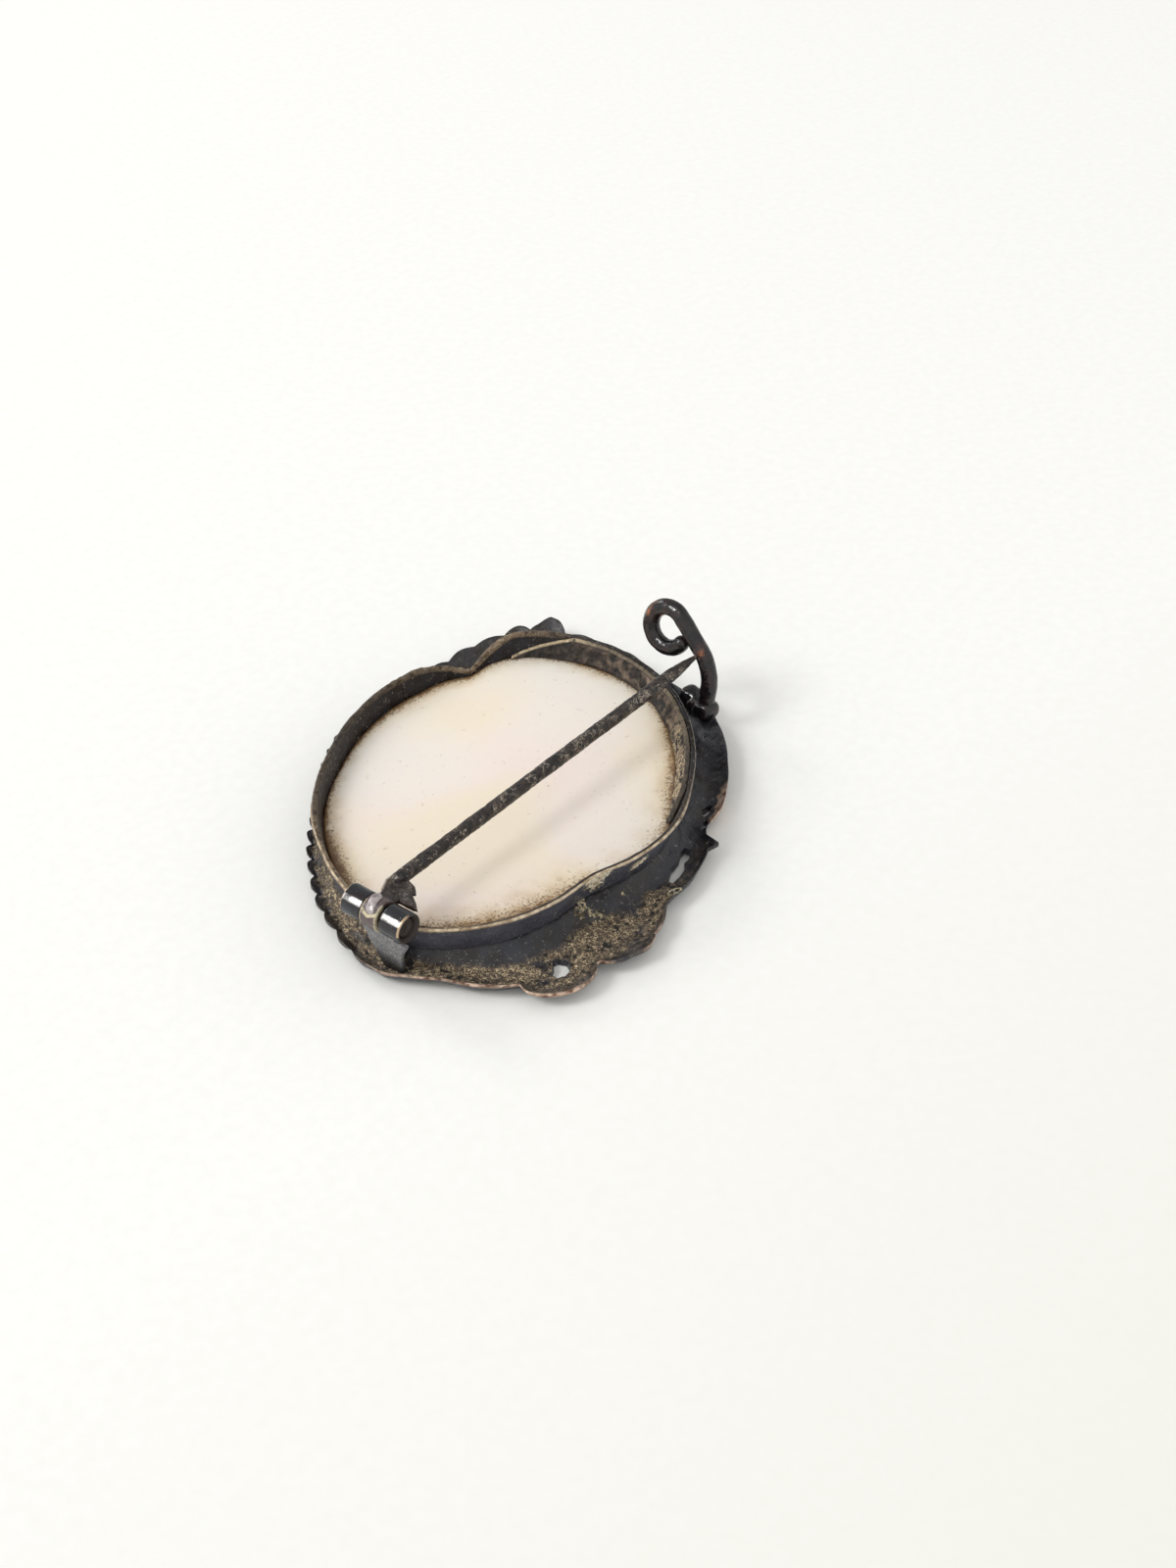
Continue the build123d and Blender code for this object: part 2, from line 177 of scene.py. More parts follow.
def distance(points: Array, centre: Array) -> Array:
    """Distance in plan from points to a centre."""
    return np.hypot(points[..., 0] - centre[0], points[..., 1] - centre[1])


def turn_round(points: Array, centre: Array) -> Array:
    """Angle of points round a line along Y, in degrees from +X towards +Z."""
    return np.degrees(np.arctan2(points[..., 2] - centre[2], points[..., 0] - centre[0]))


def linear(colour: str) -> tuple[float, float, float, float]:
    """Turns an sRGB hex colour into linear red, green, blue and alpha."""
    parts = [int(colour[i:i + 2], 16) / 255 for i in (1, 3, 5)]
    red, green, blue = (p / 12.92 if p <= 0.04045 else ((p + 0.055) / 1.055) ** 2.4 for p in parts)
    return red, green, blue, 1.0


def join(made: bpy.types.Node, inputs: Links) -> None:
    """Links or sets inputs of a node, by name or number."""
    for socket, value in inputs.items():
        if isinstance(value, bpy.types.NodeSocket):
            made.id_data.links.new(value, made.inputs[socket])
        else:
            made.inputs[socket].default_value = value


def add_node(
    tree: bpy.types.NodeTree, kind: str, inputs: Links, output: str | int = 0, **settings: Link
) -> Socket:
    """Adds a node.

    Args:
        tree: the node tree.
        kind: the node's type.
        inputs: a link or a value for each input, by name or number.
        output: the output that is wanted.
        settings: the node's settings.

    Returns:
        The wanted output.
    """
    made = tree.nodes.new(kind)
    for setting, value in settings.items():
        setattr(made, setting, value)
    join(made, inputs)
    return made.outputs[output]


class Surface:
    """One material while its nodes are put together, with places in millimetres and the points' marks."""

    def __init__(self, name: str) -> None:
        self.material = bpy.data.materials.new(name)
        self.material.use_nodes = True
        self.shader = self.material.node_tree.nodes["Principled BSDF"]
        place = self.add("ShaderNodeTexCoord", {}, "Object")
        self.place = self.add("ShaderNodeVectorMath", {0: place, "Scale": 1 / METRES}, operation="SCALE")
        painted = self.add("ShaderNodeAttribute", {}, "Color", attribute_name="marks")
        split = self.add("ShaderNodeSeparateColor", {"Color": painted})
        self.marks = (*split.node.outputs, painted.node.outputs["Alpha"])

    def add(self, kind: str, inputs: Links, output: str | int = 0, **settings: Link) -> Socket:
        """Adds a node to the material, as add_node does."""
        return add_node(self.material.node_tree, kind, inputs, output, **settings)

    def mark(self, mark: Mark) -> Socket:
        """One channel of the points' marks."""
        return self.marks[mark.value]

    def patches(
        self, size: float, low: float, high: float, detail: float = 3.0, seed: float = 0.0
    ) -> Socket:
        """Makes a mask of irregular patches.

        Args:
            size: the width of a patch, in millimetres.
            low: the noise's value where the mask is 0.
            high: the noise's value where it is 1.
            detail: how many finer noises lie on it.
            seed: the pattern, so that two patterns differ.

        Returns:
            The mask.
        """
        settings = {"Vector": self.place, "Scale": 1 / size, "Detail": detail, "W": seed}
        value = self.add("ShaderNodeTexNoise", settings, noise_dimensions="4D")
        return self.add("ShaderNodeMapRange", {"Value": value, "From Min": low, "From Max": high})

    def strands(self, size: float, width: float, detail: float = 2.0, seed: float = 0.0) -> Socket:
        """Makes a mask of short winding strands.

        Args:
            size: the distance between strands, in millimetres.
            width: the strands' width as a share of the noise's range.
            detail: how many finer noises bend them.
            seed: the pattern, so that two patterns differ.

        Returns:
            The mask.
        """
        settings = {"Vector": self.place, "Scale": 1 / size, "Detail": detail, "Distortion": 1.2, "W": seed}
        value = self.add("ShaderNodeTexNoise", settings, noise_dimensions="4D")
        off = self.add("ShaderNodeMath", {0: value, 1: 0.5}, operation="SUBTRACT")
        off = self.add("ShaderNodeMath", {0: off}, operation="ABSOLUTE")
        return self.add("ShaderNodeMapRange", {"Value": off, "From Min": width, "From Max": width * 0.3})

    def ragged(self, mask: Link, size: float, level: float, seed: float, softness: float = 0.14) -> Socket:
        """Breaks up the edge of a soft mask.

        Args:
            mask: the soft mask.
            size: the width of the breaks, in millimetres.
            level: the mask's value at the edge.
            seed: the pattern, so that two patterns differ.
            softness: how softly the mask ends.

        Returns:
            The mask with a ragged edge.
        """
        noisy = self.patches(size, 0.2, 0.8, detail=6.0, seed=seed)
        mixed = self.add("ShaderNodeMath", {0: mask, 1: noisy}, operation="ADD")
        limits = {"Value": mixed, "From Min": level + 0.5 - softness, "From Max": level + 0.5 + softness}
        return self.add("ShaderNodeMapRange", limits)

    def times(self, *values: Link) -> Socket:
        """Multiplies masks."""
        product = values[0]
        for value in values[1:]:
            product = self.add("ShaderNodeMath", {0: product, 1: value}, operation="MULTIPLY")
        return product

    def blend(self, mask: Link, under: Link, over: Link) -> Socket:
        """Lays one colour over another where a mask is 1. Each is a link or sRGB hex."""
        under, over = (linear(colour) if isinstance(colour, str) else colour for colour in (under, over))
        return self.add("ShaderNodeMix", {0: mask, 6: under, 7: over}, 2, data_type="RGBA")

    def between(self, mask: Link, low: float | Socket, high: float | Socket) -> Socket:
        """Goes from one number to another as a mask goes from 0 to 1."""
        return self.add("ShaderNodeMix", {0: mask, 2: low, 3: high}, 0, data_type="FLOAT")

    def bump(self, height: Socket, depth: float, under: Socket | None = None) -> Socket:
        """Raises the surface by a height from 0 to 1 times a depth in millimetres."""
        inputs: Links = {"Height": height, "Distance": depth * METRES, "Strength": 1.0}
        if under is not None:
            inputs["Normal"] = under
        return self.add("ShaderNodeBump", inputs)


@dataclass(frozen=True)
class BlackenedBrass:
    """Stamped sheet brass gone nearly black with tarnish.

    The tarnish is a thin dark skin that is glossy where it is smooth, so it mirrors the white room weakly
    and looks blue-black. Where wear takes it off, metal shows. Where solder flux and dust stay, there is a
    dull crust of short gold-brown strands.
    """

    name: str
    blue_black: str = "#15171F"
    brown_black: str = "#1D1713"
    haze: str = "#3B2F26"
    grey_haze: str = "#464954"
    haze_cover: tuple[float, float] = (0.4, 0.66)
    speck: str = "#A39C90"
    crust_dark: str = "#17140F"
    crust_mid: str = "#5C4D3E"
    crust_light: str = "#DEC8A2"
    worn_dark: str = "#6E4C3C"
    worn_light: str = "#D6BBA4"
    flake_dark: str = "#574B38"
    flake_light: str = "#C4B796"
    roughness: float = 0.34
    specular: float = 0.5
    strand_space: float = 0.32
    speck_size: float = 0.14

    def tarnish(self, s: Surface, mottle: Socket) -> Socket:
        """Makes the colour of the dark skin, with its haze, mottles, specks and scratches."""
        body = s.blend(s.patches(3.0, 0.42, 0.6), self.blue_black, self.brown_black)
        haze = s.times(s.mark(Mark.SHADE), s.patches(1.8, *self.haze_cover, detail=5.0, seed=14.0))
        body = s.blend(haze, body, self.haze)
        body = s.blend(s.times(mottle, 0.35), body, self.grey_haze)
        specks = s.patches(self.speck_size, 0.68, 0.73, detail=1.0, seed=3.0)
        specks = s.times(specks, s.patches(2.6, 0.42, 0.56, detail=3.0, seed=6.0))
        body = s.blend(s.times(specks, 0.8), body, self.speck)
        scratches = s.strands(0.6, 0.012, detail=1.0, seed=25.0)
        scratches = s.times(scratches, s.patches(0.5, 0.56, 0.6, detail=2.0, seed=26.0))
        return s.blend(s.times(scratches, 0.7), body, self.speck)

    def flakes(self, s: Surface) -> Socket:
        """Makes the mask of the solder flakes: torn ones, and fine lines where the mark is full."""
        torn = s.ragged(s.mark(Mark.FLAKE), 0.2, 0.52, seed=18.0, softness=0.05)
        torn = s.times(torn, s.patches(0.3, 0.38, 0.43, detail=5.0, seed=28.0))
        limits = {"Value": s.mark(Mark.FLAKE), "From Min": 0.93, "From Max": 1.0}
        lines = s.add("ShaderNodeMapRange", limits)
        return s.add("ShaderNodeMath", {0: torn, 1: lines}, operation="MAXIMUM")

    def make(self) -> bpy.types.Material:
        """Makes the material."""
        s = Surface(self.name)
        mottle = s.patches(1.3, 0.4, 0.62, detail=4.0, seed=33.0)
        strands = s.strands(self.strand_space, 0.06, detail=1.0, seed=5.0)
        clumps = s.patches(0.45, 0.36, 0.5, detail=4.0, seed=8.0)
        crust_colour = s.blend(clumps, self.crust_dark, self.crust_mid)
        crust_colour = s.blend(s.times(strands, clumps), crust_colour, self.crust_light)
        crust = s.times(s.mark(Mark.CRUST), s.patches(1.4, 0.3, 0.46, detail=5.0, seed=8.5))
        flakes = self.flakes(s)
        flake_mottle = s.patches(0.45, 0.4, 0.56, detail=4.0, seed=21.0)
        flake_colour = s.blend(flake_mottle, self.flake_dark, self.flake_light)
        worn = s.times(s.mark(Mark.BARE), s.patches(0.8, 0.3, 0.4, detail=5.0, seed=11.0))
        metal = s.blend(s.patches(0.5, 0.38, 0.6, detail=4.0, seed=2.0), self.worn_dark, self.worn_light)
        body = s.blend(crust, self.tarnish(s, mottle), crust_colour)
        body = s.blend(flakes, body, flake_colour)
        shape = s.bump(s.patches(1.2, 0.3, 0.7, detail=3.0, seed=4.0), 0.09)
        shape = s.bump(s.patches(0.1, 0.3, 0.7, detail=2.0, seed=9.0), 0.008, shape)
        shape = s.bump(s.times(strands, crust), 0.07, shape)
        gloss = s.between(mottle, self.roughness - 0.1, self.roughness + 0.1)
        join(s.shader, {
            "Base Color": s.blend(worn, body, metal),
            "Metallic": s.times(worn, 0.35),
            "Specular IOR Level": self.specular,
            "Roughness": s.between(flakes, s.between(crust, gloss, 0.8), 0.8),
            "Normal": s.bump(flakes, 0.05, shape),
        })
        return s.material


@dataclass(frozen=True)
class TarnishedTube:
    """Brass tube with a hard, shiny purple-black tarnish, rubbed to pale metal at its cut end, with a
    painted highlight: a broken near-white metallic streak along its side.
    """

    name: str = "tarnished_tube"
    purple_black: str = "#1D171A"
    blue_grey: str = "#22262B"
    end: str = "#B9A184"
    inside: str = "#2B211B"
    # near-white of the painted highlight streak along the knuckles
    painted_highlight: str = "#E4E1DE"
    speck: str = "#6F6A66"

    def make(self) -> bpy.types.Material:
        """Makes the material."""
        s = Surface(self.name)
        body = s.blend(s.patches(1.2, 0.4, 0.6), self.purple_black, self.blue_grey)
        body = s.blend(s.patches(0.25, 0.68, 0.74, detail=2.0, seed=3.0), body, self.speck)
        body = s.blend(s.mark(Mark.SHADE), body, self.inside)
        worn = s.times(s.mark(Mark.BARE), s.patches(0.8, 0.22, 0.34, detail=4.0, seed=6.0))
        # painted highlight: a broken near-white streak where the CRUST mark runs along the barrel
        streak = s.times(s.mark(Mark.CRUST), s.patches(1.1, 0.4, 0.5, detail=4.0, seed=2.0))
        body = s.blend(streak, body, self.painted_highlight)
        bare_and_highlight = s.add("ShaderNodeMath", {0: s.times(worn, 0.4), 1: s.times(streak, 0.95)}, operation="ADD")
        join(s.shader, {
            "Base Color": s.blend(worn, body, self.end),
            "Metallic": bare_and_highlight,
            "Roughness": s.between(s.mark(Mark.SHADE), s.between(worn, 0.2, 0.4), 0.6),
            "Normal": s.bump(s.patches(0.9, 0.3, 0.7, detail=3.0, seed=7.0), 0.025),
        })
        return s.material


@dataclass(frozen=True)
class GreyPlate:
    """Brass sheet under an even, matt grey skin of old lead solder, finely speckled, black at its foot."""

    name: str = "grey_plate"
    grey: str = "#5E5E62"
    pale: str = "#8E8C88"
    black: str = "#141316"

    def make(self) -> bpy.types.Material:
        """Makes the material."""
        s = Surface(self.name)
        body = s.blend(s.patches(0.14, 0.46, 0.66, detail=3.0, seed=2.0), self.grey, self.pale)
        body = s.blend(s.patches(0.5, 0.62, 0.7, detail=4.0, seed=5.0), body, self.pale)
        body = s.blend(s.mark(Mark.SHADE), body, self.black)
        join(s.shader, {
            "Base Color": body,
            "Metallic": 0.1,
            "Roughness": s.between(s.mark(Mark.SHADE), 0.5, 0.35),
            "Normal": s.bump(s.patches(0.3, 0.3, 0.7, detail=4.0, seed=1.0), 0.02),
        })
        return s.material


@dataclass(frozen=True)
class WornStrap:
    """Nickelled strap, mauve-grey, with a painted sheen of silver on its tab over the nickel, and brown
    brass and pale crust at its edges.
    """

    name: str = "worn_strap"
    mauve: str = "#5B4D50"
    silver_sheen: str = "#A9A0A0"
    brown: str = "#4A3D34"
    crust: str = "#C6BB9C"

    def make(self) -> bpy.types.Material:
        """Makes the material."""
        s = Surface(self.name)
        body = s.blend(s.patches(0.8, 0.4, 0.6), self.brown, self.mauve)
        # the SHADE mark is 1 on the tab, which takes a painted sheen of silver patches
        painted_sheen = s.mark(Mark.SHADE)
        body = s.blend(s.times(painted_sheen, s.patches(0.5, 0.3, 0.5, detail=3.0, seed=3.0)), body, self.silver_sheen)
        pale = s.times(s.mark(Mark.CRUST), s.patches(0.4, 0.36, 0.46, detail=4.0, seed=9.0))
        body = s.blend(pale, body, self.crust)
        join(s.shader, {
            "Base Color": body,
            "Metallic": s.times(painted_sheen, 0.25),
            "Roughness": s.between(pale, 0.32, 0.8),
            "Normal": s.bump(s.patches(0.35, 0.3, 0.7, detail=4.0, seed=4.0), 0.03),
        })
        return s.material


@dataclass(frozen=True)
class MotherOfPearl:
    """Mother of pearl, ground flat on its back.

    Its thin layers give a soft milky lustre with faint pink and green zones. Old glue and dirt have crept
    in from the margin as a tan stain with brown specks.
    """

    name: str = "mother_of_pearl"
    cream: str = "#F8E7D3"
    pink: str = "#F9E6DD"
    green: str = "#F4EAE0"
    yellow: str = "#E3D0A6"
    stain: str = "#BC9F74"
    brown: str = "#7E5A33"
    dark_stain: str = "#6A4A2A"

    def make(self) -> bpy.types.Material:
        """Makes the material."""
        s = Surface(self.name)
        body = s.blend(s.patches(9.0, 0.42, 0.6, detail=1.0, seed=2.0), self.cream, self.pink)
        body = s.blend(s.times(s.patches(12.0, 0.45, 0.62, detail=1.0, seed=6.0), 0.9), body, self.green)
        inward = s.add("ShaderNodeMath", {0: 1.0, 1: s.mark(Mark.BARE)}, operation="SUBTRACT")
        soft, near, close = (
            s.times(s.add("ShaderNodeMath", {0: inward, 1: power}, operation="POWER"), s.mark(Mark.CRUST))
            for power in (1.2, 2.2, 5.0)
        )
        body = s.blend(s.times(soft, 0.55), body, self.yellow)
        cloudy = s.times(s.ragged(near, 1.4, 0.4, seed=4.0, softness=0.4), soft, 1.4)
        body = s.blend(cloudy, body, self.stain)
        body = s.blend(s.ragged(close, 0.5, 0.5, seed=9.0, softness=0.25), body, self.brown)
        sand = s.ragged(near, 0.16, 0.52, seed=7.0, softness=0.12)
        body = s.blend(s.times(sand, 0.8), body, self.dark_stain)
        far_dots = s.patches(0.16, 0.8, 0.83, detail=0.0, seed=31.0)
        far_dots = s.times(far_dots, s.patches(5.0, 0.45, 0.6, detail=1.0, seed=3.0), 0.5)
        body = s.blend(far_dots, body, self.dark_stain)
        join(s.shader, {
            "Base Color": body,
            "Roughness": 0.36,
            "Subsurface Weight": 0.7,
            "Subsurface Radius": (1.0, 0.9, 0.8),
            "Subsurface Scale": 0.0028,
            "Normal": s.bump(s.patches(0.8, 0.3, 0.7, detail=4.0, seed=1.0), 0.01),
        })
        return s.material


@dataclass(frozen=True)
class CrustedBrass:
    """Brass strip under a rough crust of old cement, scraped pale on its top edge."""

    name: str = "crusted_brass"
    pit: str = "#110D0B"
    crust: str = "#352B24"
    flake: str = "#8A7765"
    scraped: str = "#C9B595"

    def make(self) -> bpy.types.Material:
        """Makes the material."""
        s = Surface(self.name)
        rough = s.patches(0.6, 0.4, 0.56, detail=6.0, seed=2.0)
        body = s.blend(rough, self.pit, self.crust)
        flakes = s.times(s.mark(Mark.CRUST), s.patches(1.0, 0.46, 0.6, detail=6.0, seed=4.0))
        body = s.blend(s.times(flakes, 0.85), body, self.flake)
        strands = s.strands(0.46, 0.085, detail=2.0, seed=14.0)
        strands = s.times(s.mark(Mark.FLAKE), strands, s.patches(0.9, 0.38, 0.46, detail=3.0, seed=5.0))
        body = s.blend(strands, body, self.scraped)
        holes = s.times(s.mark(Mark.FLAKE), s.patches(1.1, 0.54, 0.6, detail=4.0, seed=17.0))
        body = s.blend(holes, body, self.pit)
        worn = s.times(s.mark(Mark.BARE), s.patches(0.7, 0.3, 0.44, detail=5.0, seed=9.0))
        body = s.blend(worn, body, self.scraped)
        join(s.shader, {
            "Base Color": body,
            "Metallic": s.times(worn, 0.4),
            "Roughness": s.between(worn, 0.75, 0.42),
            "Normal": s.bump(rough, 0.2),
        })
        return s.material


@dataclass(frozen=True)
class PittedSteel:
    """Steel wire and sheet gone brown with rust, with pits that leave light flecks between them."""

    name: str = "pitted_steel"
    rust: str = "#3D2F27"
    dark: str = "#1E1612"
    pit: str = "#0A0705"
    fleck: str = "#B5A898"

    def make(self) -> bpy.types.Material:
        """Makes the material."""
        s = Surface(self.name)
        body = s.blend(s.patches(0.9, 0.4, 0.6, detail=4.0, seed=1.0), self.dark, self.rust)
        pits = s.patches(0.32, 0.52, 0.42, detail=4.0, seed=2.0)
        body = s.blend(s.times(pits, s.mark(Mark.CRUST)), body, self.pit)
        flecks = s.strands(0.42, 0.04, detail=2.0, seed=7.0)
        flecks = s.times(flecks, s.patches(0.9, 0.5, 0.57, detail=3.0, seed=4.0), s.mark(Mark.CRUST))
        body = s.blend(s.times(flecks, 0.85), body, self.fleck)
        body = s.blend(s.times(s.mark(Mark.BARE), 0.8), body, self.fleck)
        join(s.shader, {
            "Base Color": body,
            "Metallic": s.times(flecks, 0.5),
            "Roughness": s.between(flecks, 0.42, 0.34),
            "Normal": s.bump(pits, -0.08),
        })
        return s.material


@dataclass(frozen=True)
class TarnishedWire:
    """Brass wire with a smooth, shiny black tarnish, worn to copper where the pin's point rubs."""

    name: str = "tarnished_wire"
    black: str = "#0E0D0F"
    purple: str = "#2A1D1E"
    copper: str = "#9A6547"

    def make(self) -> bpy.types.Material:
        """Makes the material."""
        s = Surface(self.name)
        body = s.blend(s.patches(1.0, 0.45, 0.65, detail=3.0, seed=8.0), self.black, self.purple)
        worn = s.times(s.mark(Mark.BARE), s.patches(0.9, 0.54, 0.64, detail=4.0, seed=3.0))
        join(s.shader, {
            "Base Color": s.blend(worn, body, self.copper),
            "Metallic": s.times(worn, 0.6),
            "Roughness": s.between(worn, 0.2, 0.34),
            "Normal": s.bump(s.patches(0.6, 0.3, 0.7, detail=3.0, seed=5.0), 0.05),
        })
        return s.material


@dataclass(frozen=True)
class Paper:
    """Smooth white paper with faint fibres, a little greyer at the near right, away from the window."""

    name: str = "paper"
    white: str = "#F6F6F3"
    fibre: str = "#F3F3EF"
    grey: str = "#E8E7DF"
    to_the_near_right: tuple[float, float, float] = (-0.12, -0.99, 0.0)
    grey_from: float = 15.0
    grey_to: float = 95.0

    def make(self) -> bpy.types.Material:
        """Makes the material."""
        s = Surface(self.name)
        fibres = s.patches(0.9, 0.3, 0.7, detail=4.0, seed=1.0)
        sheet = s.blend(fibres, self.fibre, self.white)
        places = {0: s.place, 1: self.to_the_near_right}
        near = s.add("ShaderNodeVectorMath", places, "Value", operation="DOT_PRODUCT")
        limits = {"Value": near, "From Min": self.grey_from, "From Max": self.grey_to}
        shaded = s.add("ShaderNodeMapRange", limits)
        join(s.shader, {
            "Base Color": s.blend(shaded, sheet, self.grey),
            "Roughness": 0.9,
            "Normal": s.bump(fibres, 0.006),
        })
        return s.material


class Kit:
    """The finishes, each made once."""

    def __init__(self) -> None:
        self.border = BlackenedBrass("blackened_brass").make()
        # The collar's copy of the brass is two-toned by painted light: its outer wall takes a lifted
        # grey-blue body and a low specular, a painted reflection that keeps the shaded wall as light as the
        # lit trough, and its inside and crown take a deeper brown-black, the tarnish deepened by painted
        # dark reflection.
        self.collar = BlackenedBrass(
            "worn_collar_brass_painted_reflection",
            blue_black="#53545D",
            brown_black="#45464F",
            haze="#1B1511",
            grey_haze="#3A3B43",
            specular=0.2,
            haze_cover=(0.0, 0.1),
            flake_dark="#BCA987",
            flake_light="#F2E8D0",
            crust_dark="#54473A",
            crust_mid="#7D6C58",
            crust_light="#AD9C84",
            worn_dark="#A08B72",
            worn_light="#D9C8AE",
        ).make()
        self.tube = TarnishedTube().make()
        self.plate = GreyPlate().make()
        self.strap = WornStrap().make()
        self.pearl = MotherOfPearl().make()
        self.strip = CrustedBrass().make()
        self.steel = PittedSteel().make()
        self.wire = TarnishedWire().make()
        self.paper = Paper().make()


def box_of(node: str) -> tuple[Array, Array]:
    """Lowest and highest corner of a node of the model, in millimetres."""
    low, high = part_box(node)
    return np.array(low) / METRES, np.array(high) / METRES


@dataclass
class Skin:
    """A grid of points, in millimetres, that makes one closed skin of a piece.

    Round rows or columns close on themselves. Where rows aren't round, the first and last are capped.
    """

    points: Array
    marks: dict[Mark, Array] = field(default_factory=dict)
    round_rows: bool = False
    round_columns: bool = True
    capped: bool = True

    def faces(self, first: int) -> list[tuple[int, ...]]:
        """Lists the skin's faces.

        Args:
            first: the number of the skin's first point in its mesh.

        Returns:
            The faces, as tuples of point numbers.
        """
        rows, columns = self.points.shape[:2]
        ids = first + np.arange(rows * columns).reshape(rows, columns)
        ids = np.concatenate([ids, ids[:1]]) if self.round_rows else ids
        ids = np.concatenate([ids, ids[:, :1]], axis=1) if self.round_columns else ids
        corners = (ids[:-1, :-1], ids[1:, :-1], ids[1:, 1:], ids[:-1, 1:])
        made = [tuple(face) for face in np.stack(corners, axis=-1).reshape(-1, 4).tolist()]
        if self.capped and not self.round_rows:
            end = columns if self.round_columns else None
            made += [tuple(ids[0, :end].tolist()), tuple(ids[-1, :end].tolist())]
        return made

    def colours(self) -> Array:
        """The marks as rows of red, green, blue and alpha."""
        painted = np.zeros(self.points.shape[:2] + (4,), np.float32)
        for mark, values in self.marks.items():
            painted[..., mark.value] = np.clip(values, 0, 1)
        return painted.reshape(-1, 4)

    def roughen(self, size: float, depth: float, seed: float = 0.0, where: Array | float = 1.0) -> None:
        """Moves the points along their normals by smooth noise.

        Args:
            size: the width of a lump, in millimetres.
            depth: the largest move, in millimetres.
            seed: moves the pattern.
            where: how much of the depth each point gets.
        """
        height = lumps(self.points, size, seed) * depth * where
        self.points = self.points + normals_of(self.points) * height[..., None]


def closed_mesh(name: str, skins: list[Skin], clip: bool = False) -> bpy.types.Mesh:
    """Makes a mesh of closed skins, with their marks, its faces turned outwards.

    Args:
        name: the mesh's name.
        skins: the skins, in millimetres.
        clip: whether points past the model's box are moved onto it.

    Returns:
        The mesh.
    """
    points = np.concatenate([skin.points.reshape(-1, 3) for skin in skins]) * METRES
    if clip:
        low, high = (np.array(corner) for corner in model_box)
        points = np.clip(points, low + BOX_MARGIN, high - BOX_MARGIN)
        points[:, 2] = np.where(points[:, 2] < 2 * BOX_MARGIN, low[2], points[:, 2])
    faces: list[tuple[int, ...]] = []
    count = 0
    for skin in skins:
        faces += skin.faces(count)
        count += skin.points[..., 0].size
    mesh = bpy.data.meshes.new(name)
    mesh.from_pydata(points.tolist(), [], faces)
    painted = mesh.color_attributes.new(name="marks", type="FLOAT_COLOR", domain="POINT")
    painted.data.foreach_set("color", np.concatenate([skin.colours() for skin in skins]).ravel())
    shell = bmesh.new()
    shell.from_mesh(mesh)
    bmesh.ops.recalc_face_normals(shell, faces=shell.faces)
    shell.to_mesh(mesh)
    shell.free()
    return mesh


def put(name: str, data: bpy.types.ID) -> bpy.types.Object:
    """Puts an object into the scene."""
    placed = bpy.data.objects.new(name, data)
    bpy.context.scene.collection.objects.link(placed)
    return placed


def make_piece(
    name: str, skins: list[Skin], finish: bpy.types.Material, body: Body, slot: str, *nodes: str
) -> bpy.types.Object:
    """Makes one piece of the brooch.

    Args:
        name: the piece's name.
        skins: the skins that its mesh is made of.
        finish: its material.
        body: the body that it rides on.
        slot: the record's material slot for the piece; not used.
        nodes: the nodes of the model that it stands for.

    Returns:
        The piece.
    """
    mesh = closed_mesh(name, skins, clip=True)
    mesh.shade_smooth()
    mesh.materials.append(finish)
    piece = put(name, mesh)
    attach(piece, body.value)
    if nodes:
        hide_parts(*nodes)
    log.info("%s: %d points", name, len(mesh.vertices))
    return piece


def swept(path: Array, across: Array, up: Array, radii: Array, sides: int, power: float = 1.0) -> Array:
    """Sweeps a round section along a path.

    Args:
        path: the points of the path.
        across: the section's first direction at each point.
        up: the section's second direction at each point.
        radii: the section's radius at each point.
        sides: the number of points round the section.
        power: 1 for a circle, and less for a section with flattened sides.

    Returns:
        A grid with one row for each point of the path.
    """
    turns = np.linspace(0, 2 * pi, sides, endpoint=False)
    over, high = (np.sign(wave) * np.abs(wave) ** power for wave in (np.cos(turns), np.sin(turns)))
    ring = over[None, :, None] * across[:, None, :] + high[None, :, None] * up[:, None, :]
    return path[:, None, :] + ring * radii[:, None, None]


def turned(profile: Table, centre: Array, sides: int) -> Array:
    """Turns a closed profile round a line along Y.

    Args:
        profile: rows of place along the line and distance from it.
        centre: a point on the line.
        sides: the number of rows round the line.

    Returns:
        A grid with one row for each place round the line.
    """
    turns = np.linspace(0, 2 * pi, sides, endpoint=False)[:, None]
    y, reach = np.array(profile, float).T
    grid = np.stack([reach * np.cos(turns), np.broadcast_to(y, (sides, len(y))), reach * np.sin(turns)], -1)
    return grid + centre


def rounded_bar(y_start: float, y_end: float, inner: float, outer: float, rounding: float) -> Table:
    """Closed profile of a ring with rounded outer corners, as rows of place and distance."""
    steps = np.linspace(0, pi / 2, 6)
    first = [(y_start + rounding - rounding * cos(t), outer - rounding + rounding * sin(t)) for t in steps]
    last = [(y_end - rounding + rounding * sin(t), outer - rounding + rounding * cos(t)) for t in steps]
    middle = [(y, outer) for y in np.linspace(y_start + rounding, y_end - rounding, 16)[1:-1]]
    return tuple([(y_start, inner)] + first + middle + last + [(y_end, inner)])


def plate_skin(top: Array, bottom: Array, marks: dict[Mark, Array] | None = None) -> Skin:
    """Closes two grids of the same shape into one flat-bodied skin, whose rows go over and back under.

    Args:
        top: the upper grid.
        bottom: the lower grid.
        marks: marks of the upper grid, which the lower one takes too.

    Returns:
        The skin.
    """
    loop = np.concatenate([top, bottom[:, ::-1]], axis=1)
    both = {mark: np.concatenate([v, v[:, ::-1]], axis=1) for mark, v in (marks or {}).items()}
    return Skin(loop, both)


